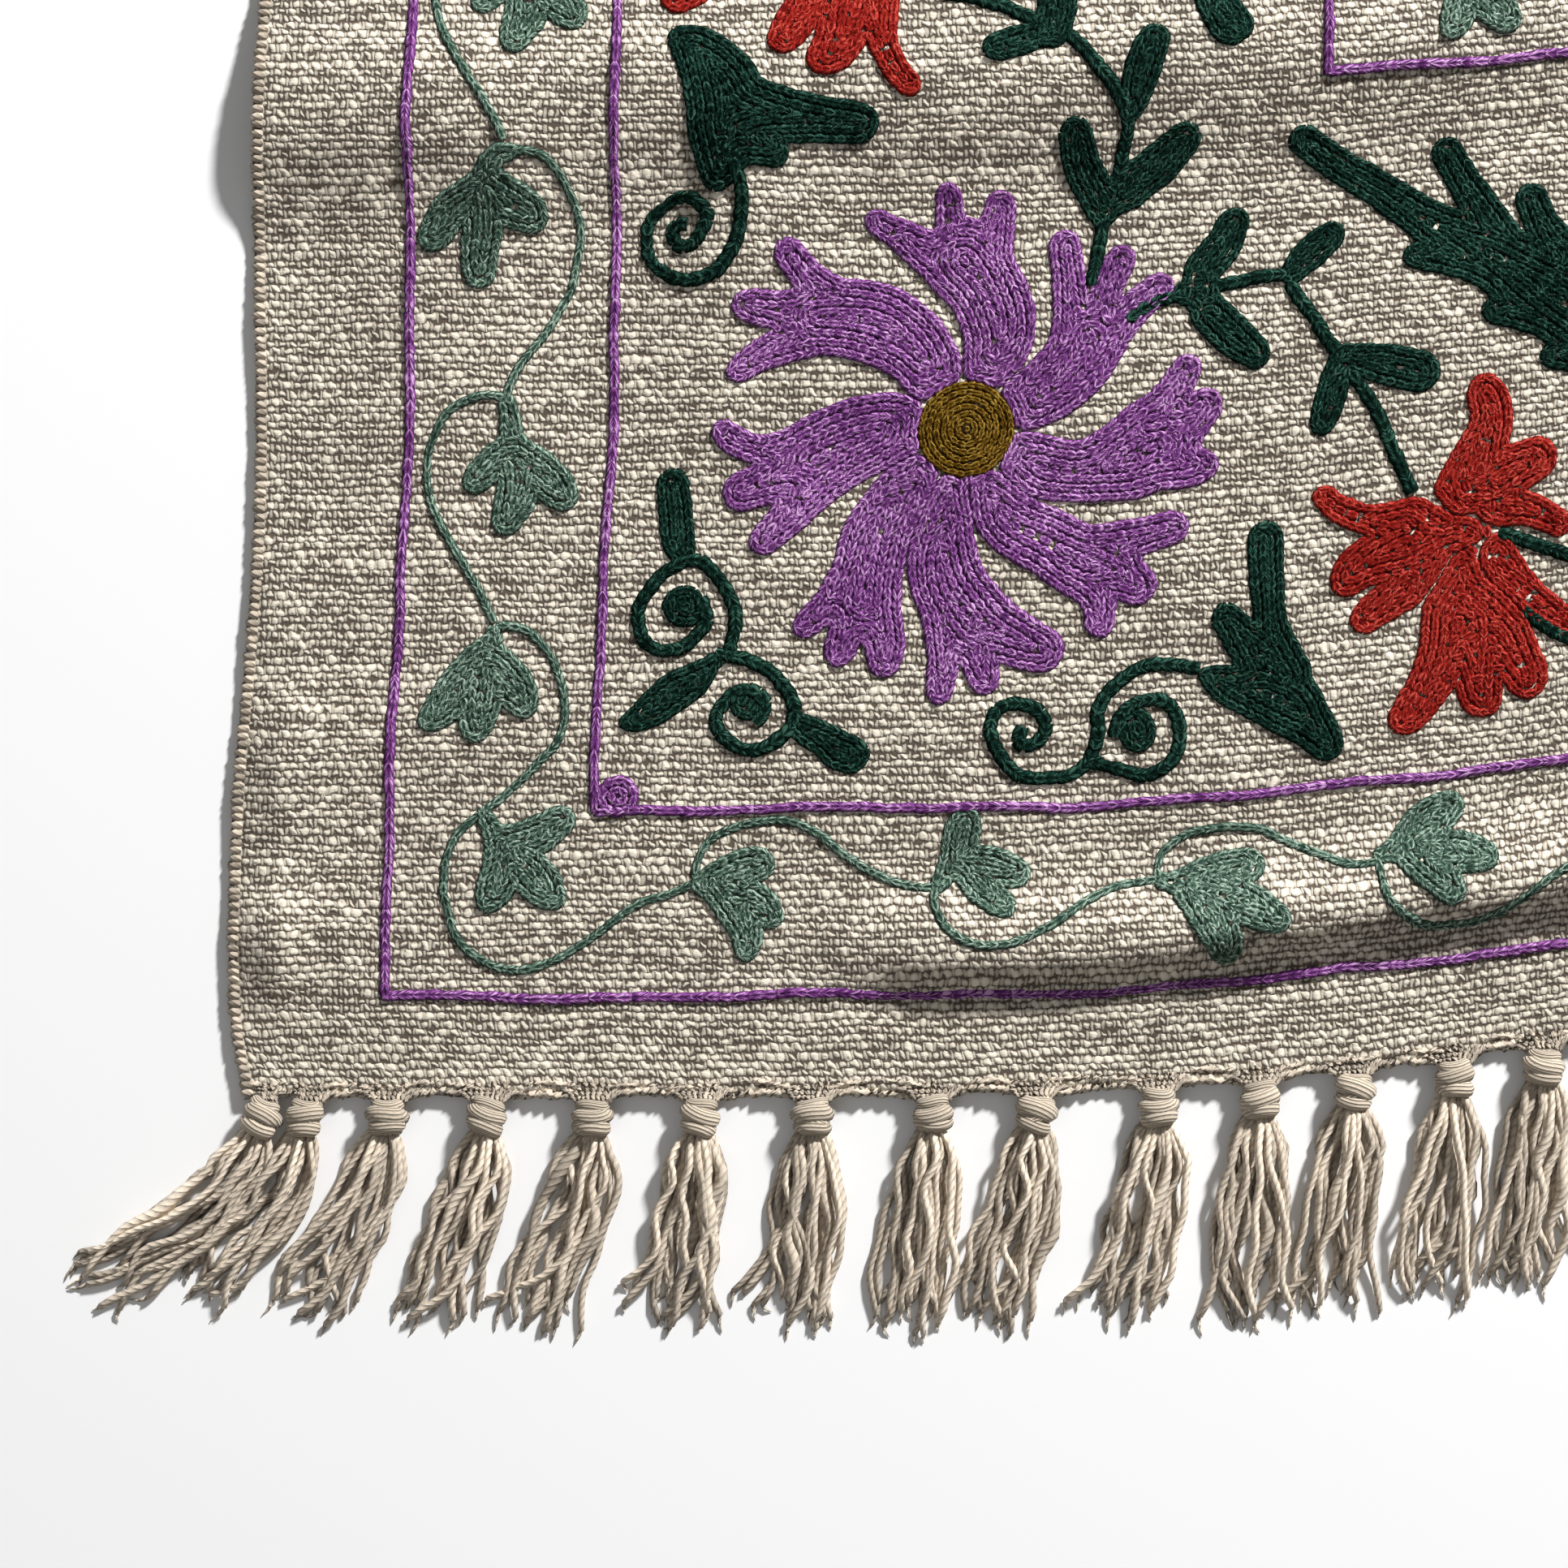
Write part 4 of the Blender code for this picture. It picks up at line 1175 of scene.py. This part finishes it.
def make_fringe(end_name, knots, yarn, knot_yarn):
    """One end's fringe: its knots, its tassels and its gathered edge."""
    near = end_name == "near"
    outward, edge = (-1, 0.0) if near else (1, LENGTH)
    yarns, bulbs, gathers = Tubes(), Tubes(), Tubes()
    for number, (knot, swing) in enumerate(zip(knots, swings(len(knots), near))):
        from_corner = min(number, len(knots) - 1 - number)
        stem = bent_line(lay(knot, edge)[:2], outward, swing * KNOT_SWING_SHARE, KNOT_LENGTH)
        wind_knot(bulbs, stem, KNOT_WIDTH * (CORNER_KNOT if from_corner < 2 else 1.0))
        length = TASSEL_LENGTH * (CORNER_STRETCH if from_corner == 0 else 1.0)
        tassel = bent_line(stem[-1] - (0, outward * TASSEL_OVERLAP), outward, swing, length)
        tassel_yarns(yarns, tassel, from_corner < 2)
    edge_yarns(gathers, knots, outward, edge)
    pieces = ((yarns, "tassels", yarn), (bulbs, "knots", knot_yarn), (gathers, "gathered_edge", yarn))
    for tubes, name, material in pieces:
        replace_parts(tubes.piece(f"{name}_{end_name}", material, "fringe_cotton"), f"fringe_{end_name}")


# Ground cloth

def make_cloth(material, knots):
    """The woven sheet: a closed mesh with its upper side, underside and rim."""
    def spread(length, fine):
        """Places along a length, closer together near both ends."""
        close = np.arange(0, fine, FINE_STEP)
        return np.concatenate([close, np.arange(fine, length - fine, SHEET_STEP), length - close[::-1]])

    u, v = np.meshgrid(spread(WIDTH, FINE_SIDES), spread(LENGTH, FINE_ENDS))
    back = scallop(u, knots)
    v = v + back * np.exp(-v / SCALLOP_REACH) - back * np.exp(-(LENGTH - v) / SCALLOP_REACH)
    index = np.arange(u.size).reshape(u.shape)
    size, u, v = u.size, u.ravel(), v.ravel()
    lower, upper = placed(lay(u, v)), on_cloth(u, v, np.zeros(size))
    quads = np.stack([index[:-1, :-1], index[:-1, 1:], index[1:, 1:], index[1:, :-1]], axis=-1).reshape(-1, 4)
    rim = np.concatenate([index[0], index[1:, -1], index[-1, -2::-1], index[-2:0:-1, 0]])
    onward = np.roll(rim, -1)
    sides = np.stack([rim, onward, onward + size, rim + size], axis=1)
    uv = np.stack([u, v], axis=1)
    faces = np.vstack([quads + size, quads[:, ::-1], sides])
    cloth = make_piece("woven_ground", np.vstack([lower, upper]), faces, material,
                       np.vstack([uv, uv]))
    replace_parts(cloth, "ground_cloth")


def make_selvedges(material):
    """The weft's turns, one small loop to each pick at both side edges."""
    tubes = Tubes()
    for left in (True, False):
        for place in np.arange(2.0, LENGTH - 1.0, WEFT_PITCH):
            v = place + rng.normal(0, 0.15)
            off = TURN_INSET + TURN_REACH * rng.uniform(-0.3, 0.4)
            u = off if left else WIDTH - off
            path = lay(np.clip(u, 0, WIDTH), v + np.linspace(-0.3, 0.3, len(off)))
            path[:, 0] += u - np.clip(u, 0, WIDTH)
            path[:, 2] = np.maximum(path[:, 2] + THICKNESS / 2 + TURN_RISE, 0.6)
            tubes.add(path, *TURN_SECTION, 0, rng.uniform(0.0, 0.55), rng.uniform(0, 6))
    tubes.piece("selvedges", material, "natural_cotton")


# Embroidery

def half_waves(start, end, waves):
    """A stretch of the inner panel's vine: half waves to the left and right of a straight line."""
    start, end = np.array(start, float), np.array(end, float)
    ahead = (end - start) / waves
    aside = beside(unit(ahead))
    turn = np.linspace(0, 1, 9)
    bow = VINE_SWELL * np.sin(np.pi * turn) ** 0.75
    return [start + ahead * (wave + turn)[:, None] + aside * (-1) ** wave * bow[:, None]
            for wave in range(waves)]


def quarter_forms():
    """The forms of the near left quarter, by thread."""
    flower = filled(PETALS, keep_out=(*DISC_CENTRE, DISC_RADIUS - PETAL_OVERLAP))
    eye_rings = np.arange(ROW_SPACING / 2, DISC_RADIUS, EYE_ROW_SPACING)
    eye = sewn_lines(circles(DISC_CENTRE, DISC_RADIUS - eye_rings), EYE)
    red = filled(RED_PETALS)
    leaves = {name: filled([strokes]) for name, strokes in LEAVES.items()}
    spray = leaves.pop("spray")
    borders = [line for place in (OUTER_LINE, INNER_LINE, FRAME_LINE) for line in border_line(*place)]
    side_vine = [[(u, v + 116) for u, v in VINE[1]], [(u, v + 118) for u, v in VINE[2]],
                 [(u, v + 234) for u, v in VINE[2]], [(62, 407), (67, 409), (74, 414), (78, 420)]]
    end_vine = [[(338, 46), (346, 50), (358, 60), (370, 66), (380, 67)]]
    panel_vine = half_waves((380, 274), (291, 274), 2) + half_waves((288, 277), (288, 420), 3)

    def copied(leaf, at, **change):
        """A copy of a leaf, moved from where it leaves the vine."""
        return moved(leaves[leaf], LEAVES[leaf][0][0][:2], at, **change)

    forms = {
        "purple": [flower, sewn_lines(borders, LINE),
                   sewn_lines(circles(ROSETTE_CENTRE, ROSETTE_RINGS), dict(LINE, length=ROSETTE_LENGTH))],
        "olive": [eye],
        "red": [red, moved(red, RED_PIVOT, (146, 282), turn=-90, flip=True)],
        "green": [filled(HOOK_LEAF), filled(SCROLL_FINGERS), filled(SCROLL_LEAF), filled(SPRIG_LEAVES),
                  filled(TOP_LEAF), spray, moved(spray, (300, 200), (208, 304), turn=-90, flip=True),
                  sewn_lines(STEMS, STEM)],
        "sage": [sewn_lines(list(VINE[1:]) + side_vine + end_vine + panel_vine, FINE),
                 copied("b", (62, 291)), copied("a", (63, 349)), copied("b", (62, 407)),
                 copied("g", (338, 47)), *leaves.values(), copied("g", (335, 274), scale=0.9, turn=180),
                 copied("g", (288, 325), scale=0.9, turn=90, flip=True),
                 copied("f", (288, 373), scale=0.9, turn=90), copied("d", (291, 276), scale=0.9)],
    }
    return {thread: np.vstack(parts) for thread, parts in forms.items()}, flower, eye, red


def middle_forms(flower, eye, red):
    """The flowers on the cloth's middle lines, by thread."""
    places = (
        dict(at=(175.5, 420), scale=0.97), dict(at=(WIDTH - 175.5, 420), scale=0.97, flip=True),
        dict(at=(380, 160), scale=0.70), dict(at=(380, LENGTH - 160), scale=0.70, turn=180),
        dict(at=(380, 420), scale=0.98, turn=22),
    )
    reds = (dict(at=(372, 322), scale=0.58, turn=-42), dict(at=(388, 518), scale=0.58, turn=138))
    rows = {"purple": (flower, DISC_CENTRE, places), "olive": (eye, DISC_CENTRE, places),
            "red": (red, RED_PIVOT, reds)}
    return {thread: np.vstack([moved(form, pivot, **place) for place in where])
            for thread, (form, pivot, where) in rows.items()}


def embroider(threads):
    quarter, *flowers = quarter_forms()
    corners = {"near_left": (False, False), "near_right": (True, False),
               "far_left": (False, True), "far_right": (True, True)}
    for thread, form in quarter.items():
        for corner, flips in corners.items():
            sew(f"{thread}_stitches_{corner}", mirrored(form, *flips), threads[thread])
    for thread, form in middle_forms(*flowers).items():
        sew(f"{thread}_stitches_middle", form, threads[thread])


# Room

def make_room():
    """A pale floor, two lamps and an even sky."""
    mesh = bpy.data.meshes.new("floor")
    corners = [(FLOOR_REACH * x, FLOOR_REACH * y, 0) for x, y in ((-1, -1), (1, -1), (1, 1), (-1, 1))]
    mesh.from_pydata(corners, [], [(0, 1, 2, 3)])
    paint = Recipe("pale_floor")
    paint.feed(paint.shader.inputs["Base Color"], (0.86, 0.86, 0.86, 1))
    paint.feed(paint.shader.inputs["Roughness"], 0.8)
    mesh.materials.append(paint.material)
    add_object("floor", mesh)
    for row in LAMPS:
        data = bpy.data.lights.new(row["name"], "AREA")
        data.shape = "DISK"
        data.size = row["size"]
        data.energy = row["power"]
        lamp = add_object(row["name"], data)
        lamp.location = row["place"]
        lamp.rotation_euler = (-Vector(row["place"])).to_track_quat("-Z", "Y").to_euler()
    world = bpy.context.scene.world = bpy.data.worlds.new("studio")
    world.use_nodes = True
    background = world.node_tree.nodes["Background"]
    background.inputs["Color"].default_value = (1, 1, 1, 1)
    background.inputs["Strength"].default_value = SKY_STRENGTH


def make_camera():
    """Straight above the near left corner, so that the view is 386 mm square as in the photograph."""
    data = bpy.data.cameras.new("camera")
    data.lens = LENS
    data.sensor_width = SENSOR
    data.clip_start = 0.05
    camera = add_object("camera", data)
    x, y = placed(lay(*FRAME_LINE))[:2]
    across, down = (PIXEL * (VIEW_PIXELS / 2 - at) for at in FRAME_CORNER_AT)
    camera.location = (x + across, y - down, VIEW_LEVEL + PIXEL * VIEW_PIXELS * LENS / SENSOR)
    bpy.context.scene.camera = camera
    bpy.context.scene.view_settings.view_transform = "Standard"


SHIFT = find_shift()
knots = knot_places()
# A yarn's dark colour is the painted shade of its grooves and of its lowest-toned parts; its light colour is
# the yarn's cream
cotton_yarn = yarn_material("cotton_yarn", (0.040, 0.030, 0.020), (0.82, 0.70, 0.56), 2.4, 3.0, 0.70, 0.0002)
knot_yarn = yarn_material("knotted_yarn", (0.060, 0.045, 0.030), (0.68, 0.58, 0.455), 30.0, 14.0, 0.46,
                          0.0003)
make_cloth(weave_material(), knots)
make_selvedges(cotton_yarn)
make_fringe("near", knots, cotton_yarn, knot_yarn)
make_fringe("far", knots, cotton_yarn, knot_yarn)
embroider({name: thread_material(f"{name}_embroidery_thread", colours) for name, colours in THREADS.items()})
make_room()
make_camera()
